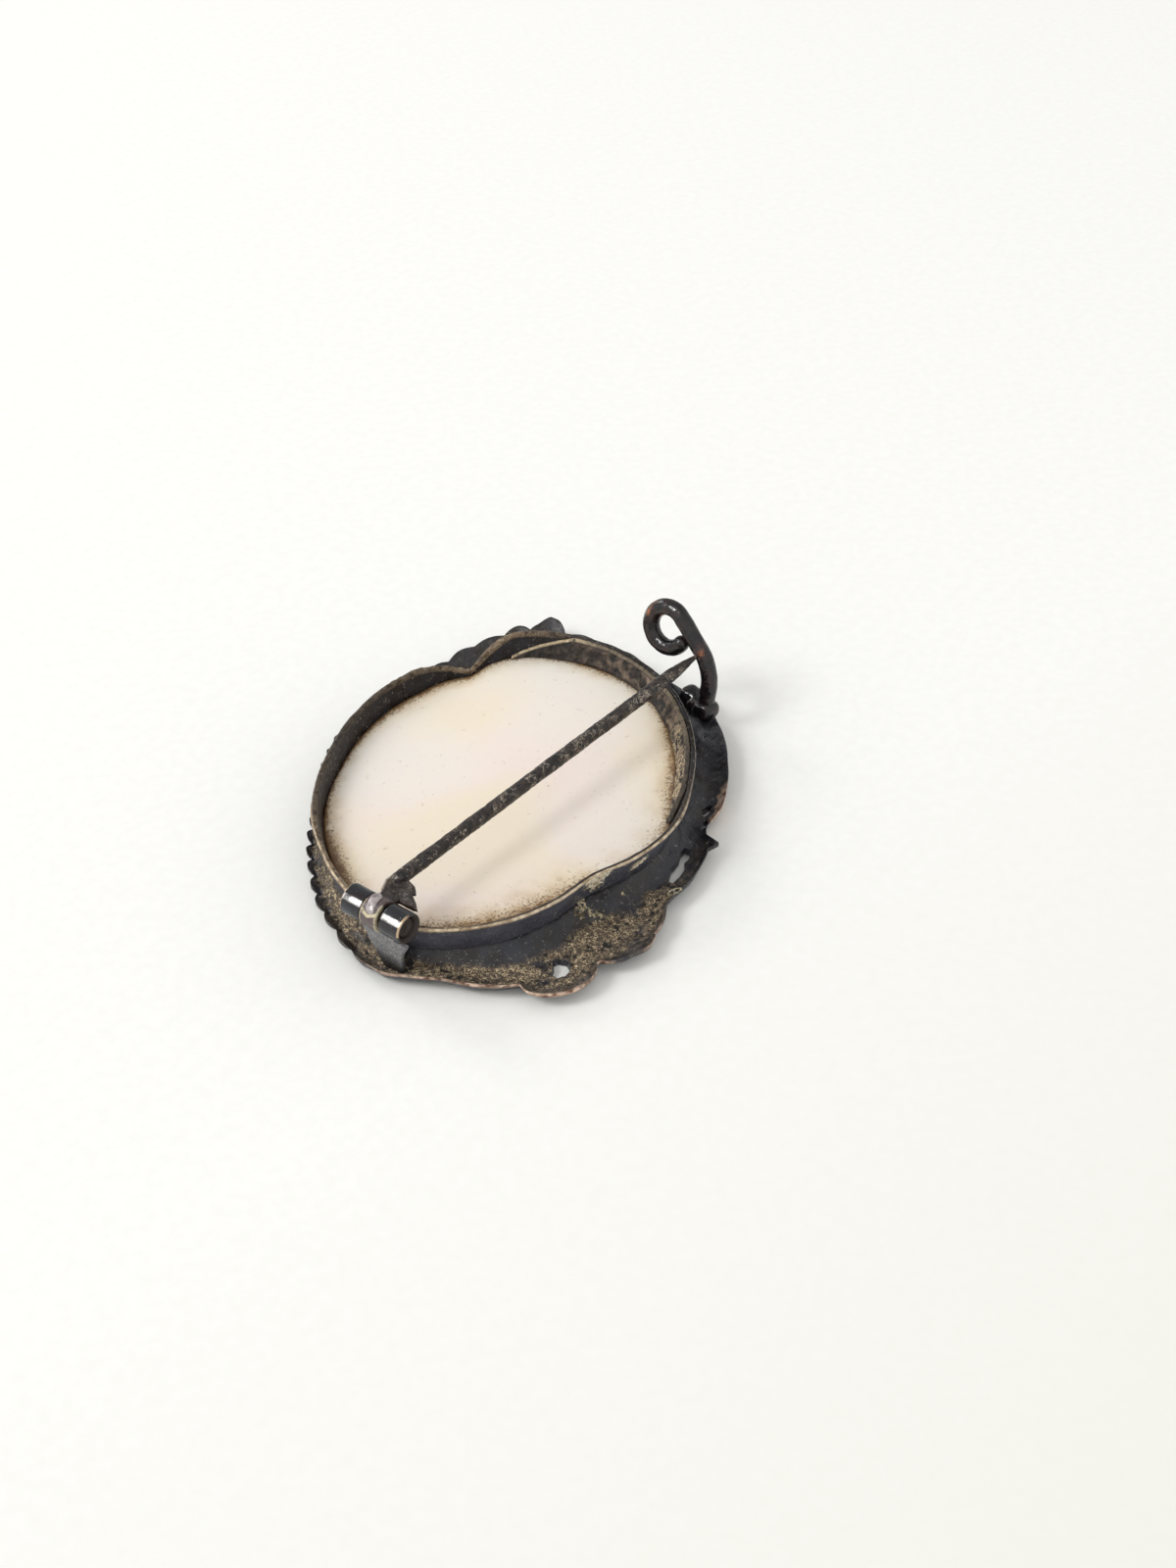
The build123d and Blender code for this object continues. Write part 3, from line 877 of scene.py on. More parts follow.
def pierce(piece: bpy.types.Object, cutters: list[Skin]) -> None:
    """Cuts holes through a piece, whose cut faces get no marks.

    Args:
        piece: the piece.
        cutters: a closed block for each hole.
    """
    block = closed_mesh("cutters", cutters)
    tool = put("cutters", block)
    cut = piece.modifiers.new("pierce", "BOOLEAN")
    cut.operation = "DIFFERENCE"
    cut.solver = "EXACT"
    cut.object = tool
    shape = piece.evaluated_get(bpy.context.evaluated_depsgraph_get())
    pierced = bpy.data.meshes.new_from_object(shape)
    piece.modifiers.remove(cut)
    whole = piece.data
    piece.data = pierced
    painted = np.empty(4 * len(pierced.vertices), np.float32)
    pierced.color_attributes["marks"].data.foreach_get("color", painted)
    painted = painted.reshape(-1, 4)
    painted[(painted > 0.99).all(axis=1)] = 0
    pierced.color_attributes["marks"].data.foreach_set("color", painted.ravel())
    pierced.name = whole.name
    bpy.data.meshes.remove(whole)
    bpy.data.objects.remove(tool)
    bpy.data.meshes.remove(block)


@dataclass(frozen=True)
class Hole:
    """A hole through the border.

    Its outline is in millimetres from its centre, to the right and away, before it is turned.
    """

    angle: float
    share: float
    outline: tuple[tuple[float, float], ...]
    turn: float = -51.8


@dataclass(frozen=True)
class Outline:
    """The mount's shape, which every piece of the brooch follows.

    Each table holds rows of angle and value. Reaches are shares of half the length, flares of the flare,
    widths of the border's width and rises of the edge's rise. Scallops go from 0 to their full strength
    at 1. A leaf's row holds its angle, half its width in degrees, its share of the border's width and how
    blunt it is.
    """

    centre_x: float = -0.985
    centre_y: float = 0.79
    length: float = 37.6
    wall: float = 0.42
    flare: float = 1.15
    foot_height: float = 1.9
    top_height: float = 4.5
    pinch_angle: float = 49.5
    pinch_depth: float = 1.3
    pinch_drop: float = 1.5
    pinch_steep_side: float = 12.0
    pinch_gentle_side: float = 19.0
    pinch_curve: float = 1.3
    pinch_blunt: float = 1.4
    pinch_upright: float = 0.8
    border_width: float = 6.0
    border_sheet: float = 0.55
    edge_sheet: float = 0.25
    edge_rise: float = 0.85
    full_hollow: float = 2.4
    scallop_count: int = 54
    scallop_depth: float = 0.35
    lip_height: float = 0.95
    reaches: Table = (
        (0, 0.927), (14, 0.980), (28, 0.999), (36, 0.987), (43, 0.936), (50, 0.880), (58, 0.838),
        (68, 0.797), (80, 0.766), (96, 0.727), (116, 0.704), (134, 0.728), (150, 0.776), (165, 0.832),
        (178, 0.899), (188, 0.955), (198, 0.991), (207, 0.977), (220, 0.915), (232, 0.838), (246, 0.748),
        (260, 0.749), (280, 0.752), (302, 0.741), (318, 0.766), (334, 0.816), (348, 0.878),
    )
    flares: Table = (
        (0, 0.85), (25, 1.0), (48, 0.9), (60, 0.6), (80, 0.5), (115, 0.4), (135, 0.4), (160, 0.6),
        (185, 0.8), (210, 1.0), (340, 1.0),
    )
    widths: Table = (
        (0, 0.38), (14, 0.54), (26, 0.68), (41, 0.76), (50, 0.67), (58, 0.52), (75, 0.40), (92, 0.34),
        (110, 0.24), (128, 0.10), (147, 0.09), (160, 0.12), (170, 0.18), (180, 0.20), (190, 0.26),
        (196, 0.26), (201, 0.20), (208, 0.22), (214, 0.34), (219, 0.44), (223, 0.49), (231, 0.60),
        (239, 0.68), (247, 0.73), (254, 0.70), (259, 0.55), (264, 0.37), (276, 0.32), (289, 0.27),
        (297, 0.19), (306, 0.33), (322, 0.43), (340, 0.50),
    )
    rises: Table = ((0, 1.6), (30, 1.3), (55, 1.0), (180, 1.0), (300, 1.0), (335, 1.6))
    scallops: Table = (
        (0, 0.0), (20, 0.3), (50, 0.6), (62, 1.0), (185, 1.0), (200, 0.0), (238, 0.0), (250, 0.5),
        (262, 0.0),
    )
    leaves: tuple[tuple[float, float, float, float], ...] = (
        (231.0, 8.0, 0.27, 2.0),
        (247.5, 7.0, 0.14, 2.0),
        (291.0, 3.0, 0.13, 1.0),
        (37.5, 2.5, 0.10, 1.5),
        (31.0, 3.6, 0.32, 1.4),
    )

    def pinch(self, angles: Array) -> Array:
        """How strongly the collar is pinched at each angle, from 0 to 1."""
        away = turn_from(angles, self.pinch_angle)
        side = np.where(away > 0, self.pinch_gentle_side, self.pinch_steep_side)
        return np.maximum(0.0, 1 - np.hypot(away, self.pinch_blunt) / side) ** self.pinch_curve

    def reach(self, angles: Array) -> Array:
        """Distance from the collar's centre to the outside of its rim, as if it weren't pinched."""
        return self.length / 2 * smooth(self.reaches, angles)

    def rim_reach(self, angles: Array) -> Array:
        """Distance from the collar's centre to the outside of its rim."""
        return self.reach(angles) - self.pinch_depth * self.pinch(angles) ** 2

    def rim_height(self, angles: Array) -> Array:
        """Height of the collar's rim above the paper."""
        return self.top_height - self.pinch_drop * self.pinch(angles)

    def foot_reach(self, angles: Array) -> Array:
        """Distance from the collar's centre to the outside of its foot."""
        flare = self.flare * smooth(self.flares, angles) * (1 - self.pinch_upright * self.pinch(angles))
        return self.rim_reach(angles) - flare

    def wall_reach(self, angles: Array, heights: Array) -> Array:
        """Distance from the collar's centre to the outside of its wall at a height."""
        rise = np.maximum(0.0, heights - self.foot_height) / (self.rim_height(angles) - self.foot_height)
        foot = self.foot_reach(angles)
        return foot + (self.rim_reach(angles) - foot) * rise

    def width(self, angles: Array) -> Array:
        """Width of the border outside the collar's rim, without its leaves."""
        return self.border_width * smooth(self.widths, angles)

    def scallop_strength(self, angles: Array) -> Array:
        """How strongly the border is scalloped, from 0 to 1."""
        return np.maximum(0.0, smooth(self.scallops, angles))

    def nick(self, angles: Array) -> Array:
        """How deep in the gap between two scallops an angle is, from 0 to 1."""
        return 1 - np.abs(np.sin(pi * np.asarray(angles) * self.scallop_count / 360))

    def scallop(self, angles: Array) -> Array:
        """Share of a full scallop that is missing, which is 0 where the border's edge is smooth."""
        return self.scallop_strength(angles) * self.nick(angles)

    def leaf_reach(self, angles: Array) -> Array:
        """How far a leaf stands out of the border."""
        reach = np.zeros_like(np.asarray(angles, float))
        for centre, half_width, share, roundness in self.leaves:
            away = np.minimum(1.0, np.abs(turn_from(angles, centre)) / half_width)
            reach = reach + self.border_width * share * (1 - away**roundness) ** (1 / roundness)
        return reach

    def border_reach(self, angles: Array, shares: Array | float) -> Array:
        """Distance from the collar's centre to a share of the way from its foot to the border's edge."""
        foot = self.foot_reach(angles)
        edge = self.reach(angles) + self.width(angles) - self.scallop_depth * self.scallop(angles)
        return foot + shares * (edge - foot) + np.asarray(shares) ** 3 * self.leaf_reach(angles)

    def back_height(self, angles: Array, rise: float) -> Array:
        """Height of the border's back, where rise is 0 in its trough and 1 at its edge."""
        edge = self.border_sheet + self.edge_rise * smooth(self.rises, angles)
        hollow = np.minimum(1.0, self.width(angles) / self.full_hollow)
        return edge - (1 - rise) * hollow * (edge - self.border_sheet)

    def at(self, angles: Array, reach: Array, heights: Array) -> Array:
        """Points at angles, distances from the collar's centre and heights."""
        turns = np.radians(angles)
        x = self.centre_x + reach * np.cos(turns)
        y = self.centre_y + reach * np.sin(turns)
        return np.stack(np.broadcast_arrays(x, y, heights), axis=-1)

    def on_border(self, angle: float, share: float, height: float = 0.0) -> Array:
        """One point at an angle and a share of the way across the border."""
        place = np.array(angle)
        return self.at(place, self.border_reach(place, share), height)


@dataclass(frozen=True)
class Collar:
    """The upright wall that holds the plaque.

    The tables say, by angle, how much the rim waves and how strong each of its marks is. A flake's row
    holds its angle, its height, half its width and half its height.
    """

    outline: Outline
    angle_count: int = 1440
    wall_rows: int = 20
    rim_rows: int = 11
    foot_below: float = 0.45
    crown_power: float = 0.7
    twist_angle: float = 44.0
    twist_half_width: float = 7.5
    twist_swell: float = 0.2
    swell_below_rim: float = 1.2
    wave_height: float = 0.05
    waves: Table = ((0, 0), (70, -1), (140, 0.2), (230, -1), (300, 0))
    wide_line: Table = ((0, 0), (140, 0), (160, 1), (235, 1), (285, 0.9), (310, 0))
    crusty_rim: Table = ((0, 0), (48, 0), (52, 1), (62, 1), (75, 0.4), (100, 0))
    dull_rim: Table = (
        (0, 0.0), (22, 0.15), (36, 0.9), (50, 1.0), (62, 0.6), (100, 0.2), (130, 0.25), (150, 0.5),
        (165, 1.0), (205, 1.0), (222, 0.3), (240, 0.1), (290, 0.1), (315, 0.0), (340, 0.0),
    )
    bright_rim: Table = (
        (0, 0.4), (36, 0.9), (48, 0.8), (60, 0.4), (90, 0.35), (130, 0.6), (160, 0.9), (205, 1.0),
        (240, 1.0), (280, 0.9), (300, 0.5), (320, 0.4),
    )
    flakes: tuple[tuple[float, float, float, float], ...] = (
        (247.6, 3.9, 1.0, 0.85),
        (248.8, 3.1, 0.5, 0.9),
        (264.0, 3.3, 0.8, 0.5),
    )

    def flake_mask(self, angles: Array, heights: Array) -> Array:
        """Where solder flakes lie on the outer wall.

        Args:
            angles: the points' angles, as a column.
            heights: their heights.

        Returns:
            The mask, from 0 to 1.
        """
        mask = np.zeros_like(heights)
        for angle, height, half_width, half_height in self.flakes:
            along = np.radians(turn_from(angles, angle)) * self.outline.foot_reach(angles)
            away = np.sqrt((along / half_width) ** 2 + ((heights - height) / half_height) ** 2)
            mask = np.maximum(mask, 1 - away / 2)
        return mask

    def marks(self, angles: Array, heights: Array) -> dict[Mark, Array]:
        """Marks the rim's pale edge, its dull crown, the dark inside and the flakes.

        Args:
            angles: the points' angles, as a column.
            heights: their heights.

        Returns:
            The marks of the points.
        """
        column = np.arange(heights.shape[1])[None, :]
        line = self.wall_rows + self.rim_rows - 4
        crown = (column >= self.wall_rows - 1) & (column <= line + 2)
        edge = (column == line) + (np.abs(column - line) == 1) * smooth(self.wide_line, angles)
        return {
            Mark.BARE: edge * smooth(self.bright_rim, angles),
            Mark.CRUST: crown * smooth(self.dull_rim, angles),
            # the inside and crown take the collar's deeper brown-black, partly tarnish and partly painted
            # dark reflection
            Mark.SHADE: column <= line,
            Mark.FLAKE: self.flake_mask(angles, heights) * (column > line),
        }

    def build(self, kit: Kit) -> bpy.types.Object:
        """Builds the wall, with its rim rounded by wear and twisted beside the pinch."""
        shape = self.outline
        angles = np.linspace(0, 360, self.angle_count, endpoint=False)[:, None]
        rim = shape.rim_height(angles) + self.wave_height * smooth(self.waves, angles)
        twist = np.maximum(0, 1 - np.abs(turn_from(angles, self.twist_angle)) / self.twist_half_width)
        radius = shape.wall / 2 + self.twist_swell * step_up(twist, 0, 0.8)
        top = rim - radius
        share = np.linspace(0, 1, self.wall_rows)[None, :]
        inside = shape.lip_height + (top - shape.lip_height) * share
        low = shape.foot_height - self.foot_below
        outside = (low + (top - low) * share)[:, ::-1]
        turns = np.linspace(0, pi, self.rim_rows)[None, 1:-1]
        crown = top + radius * np.sin(turns) ** self.crown_power
        crown_reach = shape.wall_reach(angles, top) - shape.wall + radius - radius * np.cos(turns)
        swell = (2 * radius - shape.wall) * step_up(outside, rim - self.swell_below_rim, top)
        reach = np.concatenate([
            shape.wall_reach(angles, inside) - shape.wall,
            crown_reach,
            shape.wall_reach(angles, outside) + swell,
        ], axis=1)
        height = np.concatenate([inside, crown, outside], axis=1)
        skin = Skin(shape.at(angles, reach, height), self.marks(angles, height), round_rows=True)
        skin.roughen(3.0, 0.05, seed=3.0)
        skin.roughen(0.5, 0.025, seed=8.0)
        crusty = step_up(smooth(self.crusty_rim, angles), 0, 1) * step_up(height, rim - 0.5, rim - 0.1)
        skin.roughen(0.35, 0.12, seed=12.0, where=crusty)
        return make_piece("collar", [skin], kit.collar, Body.BROOCH, "mount", "mount")


@dataclass(frozen=True)
class StampedBorder:
    """The stamped border round the collar, with the lip that the plaque lies on.

    Knots are shares of the way from the collar's foot to the edge, and knot rises the heights there, from
    0 in the trough to 1 at the edge. A flake's row holds its angle, its share of that way and its size.
    """

    outline: Outline
    angle_count: int = 1260
    back_columns: int = 42
    front_columns: int = 20
    lip_columns: int = 10
    lip_width: float = 1.4
    lip_sheet: float = 0.4
    flute_depth: float = 0.3
    bead_depth: float = 0.3
    bead_count: int = 120
    lobe_height: float = 0.10
    nick_depth: float = 0.34
    knots: tuple[float, ...] = (0.0, 0.30, 0.58, 0.84, 1.0)
    knot_rises: tuple[float, ...] = (0.30, 0.0, 0.42, 1.0)
    crust: Table = (
        (0, 0.0), (30, 0.1), (60, 0.15), (120, 0.3), (155, 0.6), (170, 0.8), (186, 1.0), (200, 1.0),
        (226, 1.0), (250, 1.0), (264, 1.0), (270, 0.5), (284, 0.1), (330, 0.0),
    )
    crust_start: Table = (
        (0, 0.4), (150, 0.0), (192, 0.0), (202, 0.18), (222, 0.26), (240, 0.24), (262, 0.3), (300, 0.6),
    )
    haze: Table = ((0, 0.5), (60, 0.5), (140, 0.7), (200, 0.9), (225, 0.4), (300, 0.3), (335, 0.4))
    bare_edge: Table = (
        (0, 0.0), (90, 0.0), (150, 0.0), (190, 0.15), (199, 0.8), (224, 1.0), (240, 1.0), (243, 0.1),
        (249, 0.15), (252, 1.0), (256, 0.9), (260, 0.0), (296, 0.0), (303, 0.0), (340, 0.0),
    )
    loop_angle: float = 269.0
    loop_share: float = 0.88
    loop_radius: float = 0.8
    loop_pitch: float = 0.42
    loop_height: float = 0.09
    flaked_angle: float = 307.5
    flaked_half_width: float = 9.5
    flaked_fade: float = 3.0
    flaked_share: float = 0.81
    flakes: tuple[tuple[float, float, float], ...] = (
        (241.6, 0.1, 0.36),
        (243.4, 0.03, 0.36),
        (244.6, 0.14, 0.3),
        (247.0, 0.22, 0.42),
        (257.5, 0.13, 0.16),
    )
    holes: tuple[Hole, ...] = (
        Hole(232.0, 0.62, (
            (-0.65, 0.75), (-0.2, 1.05), (0.4, 0.9), (0.7, 0.2), (0.6, -0.35), (0.3, -0.9), (-0.2, -1.1),
            (-0.7, -0.4), (-0.45, 0.2),
        )),
        Hole(280.5, 0.47, (
            (-0.95, -1.6), (-0.65, -0.35), (-0.1, 0.55), (0.1, 1.4), (0.4, 1.95), (0.75, 1.8), (0.7, 0.9),
            (0.3, 0.35), (0.4, -0.15), (-0.1, -1.25), (-0.6, -1.95),
        )),
        Hole(307.5, 0.60, (
            (-0.4, -0.5), (-0.15, 0.25), (0.4, 0.75), (0.5, 0.3), (0.2, -0.45), (-0.1, -0.75),
        )),
        Hole(299.5, 0.82, ((-0.22, -0.5), (-0.1, 0.3), (0.2, 0.5), (0.3, -0.15), (0.0, -0.6))),
    )

    def loop_rings(self, points: Array) -> Array:
        """The round waves of the scroll's end, from -1 to 1."""
        away = distance(points, self.outline.on_border(self.loop_angle, self.loop_share))
        fade = 1 - step_up(away, self.loop_radius * 0.85, self.loop_radius)
        return np.cos(2 * pi * away / self.loop_pitch) * fade

    def loop_crests(self, points: Array) -> Array:
        """Where the crests of those waves are worn pale, from 0 to 1."""
        return step_up(self.loop_rings(points), 0.3, 0.8)

    def relief(self, angles: Array, shares: Array, points: Array) -> Array:
        """Works out the relief of the border's back: lobes behind the scallops, and the scroll's rings.

        Args:
            angles: the points' angles, as a column.
            shares: how far out the points are, as a row.
            points: the points.

        Returns:
            How far each point is raised, in millimetres.
        """
        shape = self.outline
        band = step_up(shares, 0.5, 0.75)
        nicks = self.nick_depth * shape.nick(angles)
        lobes = shape.scallop_strength(angles) * band * (self.lobe_height - nicks)
        return lobes + self.loop_height * self.loop_rings(points)

    def section(self, angles: Array) -> tuple[Array, Array, Array]:
        """Works out the border's section: its back, its edge, its front and the lip.

        Args:
            angles: the sections' angles, as a column.

        Returns:
            How far out each column of points is, as a share of the border, and each point's distance from
            the collar's centre and height.
        """
        shape = self.outline
        knots = np.array(self.knots)
        foot = np.full_like(angles, shape.foot_height)
        rises = [shape.back_height(angles, rise) for rise in self.knot_rises]
        heights = np.concatenate([foot, *rises], axis=1)
        back_shares = np.linspace(0, 1, self.back_columns) ** 0.85
        back_reach = shape.border_reach(angles, back_shares[None, :])
        back = through(knots, heights, back_shares)
        back = back + self.relief(angles, back_shares[None, :], shape.at(angles, back_reach, back))

        front_shares = np.linspace(1, knots[1], self.front_columns)
        front_reach = shape.border_reach(angles, front_shares[None, :])
        thin = step_up(front_shares, knots[3], knots[4])
        flute = self.flute_depth * shape.scallop(angles)
        sheet = (shape.border_sheet - flute) * (1 - thin) + shape.edge_sheet * thin
        front = through(knots, heights, front_shares) - sheet

        lip_share = np.linspace(0, 1, self.lip_columns)[None, 1:]
        wall_inside = shape.foot_reach(angles) - shape.wall
        lip_inside = wall_inside - self.lip_width
        lip_low = shape.lip_height - self.lip_sheet
        lip_reach = front_reach[:, -1:] + (lip_inside - front_reach[:, -1:]) * lip_share
        lip = front[:, -1:] + (lip_low - front[:, -1:]) * lip_share
        bead = np.abs(np.sin(pi * angles * self.bead_count / 360)) * np.sin(pi * lip_share) ** 2
        lip = np.maximum(lip - self.bead_depth * bead, 0.0)

        closing_reach = (lip_inside, wall_inside, wall_inside + 0.1)
        closing = (foot * 0 + shape.lip_height, foot * 0 + shape.lip_height, foot - 0.02)
        reach = np.concatenate([back_reach, front_reach, lip_reach, *closing_reach], axis=1)
        height = np.maximum(np.concatenate([back, front, lip, *closing], axis=1), 0.0)
        inner_columns = lip.shape[1] + len(closing)
        shares = np.concatenate([back_shares, front_shares, np.zeros(inner_columns)])[None, :]
        return shares, reach, height

    def flake_mask(self, points: Array) -> Array:
        """Where solder flakes lie in the trough, from 0 to 1."""
        mask = np.zeros(points.shape[:-1])
        for angle, share, size in self.flakes:
            away = distance(points, self.outline.on_border(angle, share)) / size
            mask = np.maximum(mask, 1 - away / 2)
        return mask

    def marks(self, angles: Array, shares: Array, points: Array) -> dict[Mark, Array]:
        """Marks the worn edge, the crust, the haze and the flakes.

        Args:
            angles: the points' angles, as a column.
            shares: how far out the points are, as a row.
            points: the points.

        Returns:
            The marks of the points.
        """
        back = np.arange(shares.shape[1])[None, :] < self.back_columns
        start = smooth(self.crust_start, angles) + lumps(points, 1.2, seed=30.0) * 0.08
        lobes = 1 - self.outline.scallop_strength(angles) * step_up(shares, 0.56, 0.72)
        bare_margin = 1 - 0.75 * step_up(shares, 0.84, 0.93) * step_up(angles, 205, 225)
        crust = smooth(self.crust, angles) * step_up(shares, start, start + 0.14) * lobes * bare_margin
        worn = smooth(self.bare_edge, angles) * step_up(shares, 0.975, 0.995)
        away = np.abs(turn_from(angles, self.flaked_angle))
        flaked = step_up(self.flaked_half_width - away, 0.0, self.flaked_fade)
        ragged = self.flaked_share + lumps(points, 0.6, seed=40.0) * 0.12
        flaked = flaked * step_up(shares, ragged, ragged + 0.03)
        haze = smooth(self.haze, angles) * step_up(shares, 0.0, 0.3)
        haze = haze * (1 - step_up(shares, 0.6, 0.85) * 0.6)
        return {
            Mark.BARE: np.maximum(worn, flaked),
            Mark.CRUST: crust * back,
            Mark.SHADE: haze,
            Mark.FLAKE: np.maximum(self.flake_mask(points), self.loop_crests(points)) * back,
        }

    def cutter(self, hole: Hole) -> Skin:
        """Makes an upright block that cuts one hole."""
        turn = radians(hole.turn)
        ring = np.array(hole.outline)
        x = ring[:, 0] * cos(turn) - ring[:, 1] * sin(turn)
        y = ring[:, 0] * sin(turn) + ring[:, 1] * cos(turn)
        flat = self.outline.on_border(hole.angle, hole.share) + np.stack([x, y, x * 0], axis=-1)
        return Skin(np.stack([flat - (0, 0, 1.0), flat + (0, 0, 3.0)]))

    def build(self, kit: Kit) -> bpy.types.Object:
        """Builds the border and the lip as one skin, and cuts the holes."""
        angles = np.linspace(0, 360, self.angle_count, endpoint=False)[:, None]
        shares, reach, height = self.section(angles)
        skin = Skin(self.outline.at(angles, reach, height), round_rows=True)
        skin.marks = self.marks(angles, shares, skin.points)
        skin.roughen(2.2, 0.1, seed=1.0, where=step_up(shares, 0.05, 0.3))
        skin.roughen(0.3, 0.07, seed=5.0, where=skin.marks[Mark.CRUST])
        skin.points[..., 2] = np.maximum(skin.points[..., 2], 0.0)
        border = make_piece("stamped_border", [skin], kit.border, Body.BROOCH, "mount", "mount")
        pierce(border, [self.cutter(hole) for hole in self.holes])
        return border


@dataclass(frozen=True)
class Plaque:
    """The shell plaque, flat on its back and domed on its front."""

    outline: Outline
    angle_count: int = 720
    dome: float = 0.6
    fit: float = 0.06
    lip_width: float = 1.4
    rounding: float = 0.05
    hub: float = 0.02
    back_rings: int = 26
    front_rings: int = 24
    insets: tuple[float, ...] = (
        0.0, 0.02, 0.06, 0.12, 0.2, 0.3, 0.42, 0.56, 0.72, 0.9, 1.1, 1.35, 1.65, 2.0, 2.4, 2.9, 3.5,
    )
    stain: Table = (
        (0, 0.7), (15, 0.9), (30, 0.6), (50, 0.8), (75, 0.85), (100, 0.8), (125, 0.6), (145, 0.75),
        (165, 0.95), (182, 0.85), (196, 0.9), (210, 1.0), (226, 1.0), (238, 0.8), (255, 0.5), (280, 0.5),
        (310, 0.9), (335, 0.95),
    )
    stain_width: Table = (
        (0, 2.1), (15, 2.3), (30, 2.1), (50, 2.2), (75, 2.2), (100, 1.5), (125, 1.4), (145, 2.0),
        (165, 2.8), (182, 3.0), (196, 4.0), (210, 5.5), (226, 5.8), (238, 4.6), (255, 3.8), (280, 3.4),
        (310, 2.8), (335, 2.3),
    )

    def build(self, kit: Kit) -> bpy.types.Object:
        """Builds the plaque. Its marks say how far in a point is and how strong the stain is there."""
        shape = self.outline
        angles = np.linspace(0, 360, self.angle_count, endpoint=False)[:, None]
        back = np.full_like(angles, box_of("shell_plaque")[1][2])
        front = shape.lip_height + self.fit
        edge = shape.wall_reach(angles, back) - shape.wall - self.fit
        margin = edge - np.array(self.insets)
        inner = (edge - self.insets[-1]) * np.linspace(1, self.hub, self.back_rings)[None, 1:]
        back_reach = np.concatenate([margin, inner], axis=1)
        back_height = back - self.rounding * (1 - step_up(edge - back_reach, 0, 3 * self.rounding))
        shares = np.linspace(1, self.hub, self.front_rings)[None, :]
        front_reach = shares * (shape.wall_reach(angles, front) - shape.wall - self.lip_width - self.fit)
        front_height = front - self.dome * (1 - shares**2) + angles * 0
        side_reach = shape.wall_reach(angles, front) - shape.wall - self.fit
        reach = np.concatenate([back_reach[:, ::-1], side_reach, front_reach], axis=1)
        height = np.concatenate([back_height[:, ::-1], angles * 0 + front, front_height], axis=1)
        skin = Skin(shape.at(angles, reach, height).transpose(1, 0, 2))
        back_depth = (edge - back_reach)[:, ::-1]
        depth = np.concatenate([back_depth, side_reach * 0, edge - front_reach + 2], axis=1)
        skin.marks = {
            Mark.BARE: np.clip(depth / np.maximum(smooth(self.stain_width, angles), 0.5), 0, 1).T,
            Mark.CRUST: (smooth(self.stain, angles) + depth * 0).T,
        }
        return make_piece("plaque", [skin], kit.pearl, Body.BROOCH, "plaque", "shell_plaque")


@dataclass(frozen=True)
class RetainingStrip:
    """The strip that keeps the plaque in, leaning on one side of the collar."""

    outline: Outline
    sheet: float = 0.35
    drop: float = 0.05
    toe: float = 0.15
    start: float = 38.0
    full: float = 22.0
    fade: float = -62.0
    end: float = -72.0
    fit: float = 0.06
    shoulder: float = 0.06
    chamfer: float = 0.08
    row_count: int = 700
    column_count: int = 16

    def marks(self, along: Array, below: Array, above: Array) -> dict[Mark, Array]:
        """Marks the scraped top edge, the crust and the pale strands. The crust fades out towards the
        bottom edge, leaving it dark as painted shade where the strip meets the plaque.

        Args:
            along: how far along the strip the points are, from 0 to 1, as a column.
            below: how far they are below the top edge, in millimetres.
            above: how far they are above the bottom edge, in millimetres.

        Returns:
            The marks of the points.
        """
        scraped = (1 - step_up(below, 0.03, 0.16)) * (1 - 0.7 * step_up(along, 0.14, 0.22))
        return {
            Mark.BARE: scraped * (1 - 0.8 * step_up(along, 0.6, 0.76)),
            # CRUST fades out over the bottom 0.35 mm, leaving painted shade in the crease against the
            # plaque
            Mark.CRUST: step_up(below, 0.1, 0.3) * step_up(above, 0.05, 0.35) * step_up(along, 0.1, 0.3),
            Mark.FLAKE: step_up(below, 0.05, 0.2) * step_up(along, 0.5, 0.66),
        }

    def build(self, kit: Kit) -> bpy.types.Object:
        """Builds the strip, which rises from one end and falls to the other."""
        shape = self.outline
        bottom = box_of("retaining_strip")[0][2]
        angles = np.linspace(self.start, self.end, self.row_count)[:, None]
        rising = (self.start - angles) / (self.start - self.full)
        falling = (angles - self.end) / (self.fade - self.end)
        toe = bottom + self.toe
        full_height = shape.rim_height(angles) - self.drop - toe
        top = toe + full_height * np.clip(np.minimum(rising, falling), 0, 1)
        share = np.linspace(0, 1, self.column_count)[None, :]
        inner_height = bottom + (top - self.shoulder - bottom) * share
        inner_reach = shape.wall_reach(angles, inner_height) - shape.wall - self.fit - self.sheet
        outer_height = inner_height[:, ::-1]
        outer_reach = shape.wall_reach(angles, outer_height) - shape.wall - self.fit
        crown = (inner_reach[:, -1:] + self.chamfer, inner_reach[:, -1:] + self.sheet - self.chamfer)
        reach = np.concatenate([inner_reach, *crown, outer_reach], axis=1)
        height = np.concatenate([inner_height, top, top, outer_height], axis=1)
        skin = Skin(shape.at(angles, reach, height))
        below = top - height
        along = (self.start - angles) / (self.start - self.end)
        skin.marks = self.marks(along, below, height - bottom)
        skin.roughen(0.45, 0.11, seed=2.0, where=step_up(below, 0.05, 0.3) * step_up(along, 0.15, 0.4))
        return make_piece(
            "retaining_strip_dressed", [skin], kit.strip, Body.BROOCH, "strip", "retaining_strip"
        )


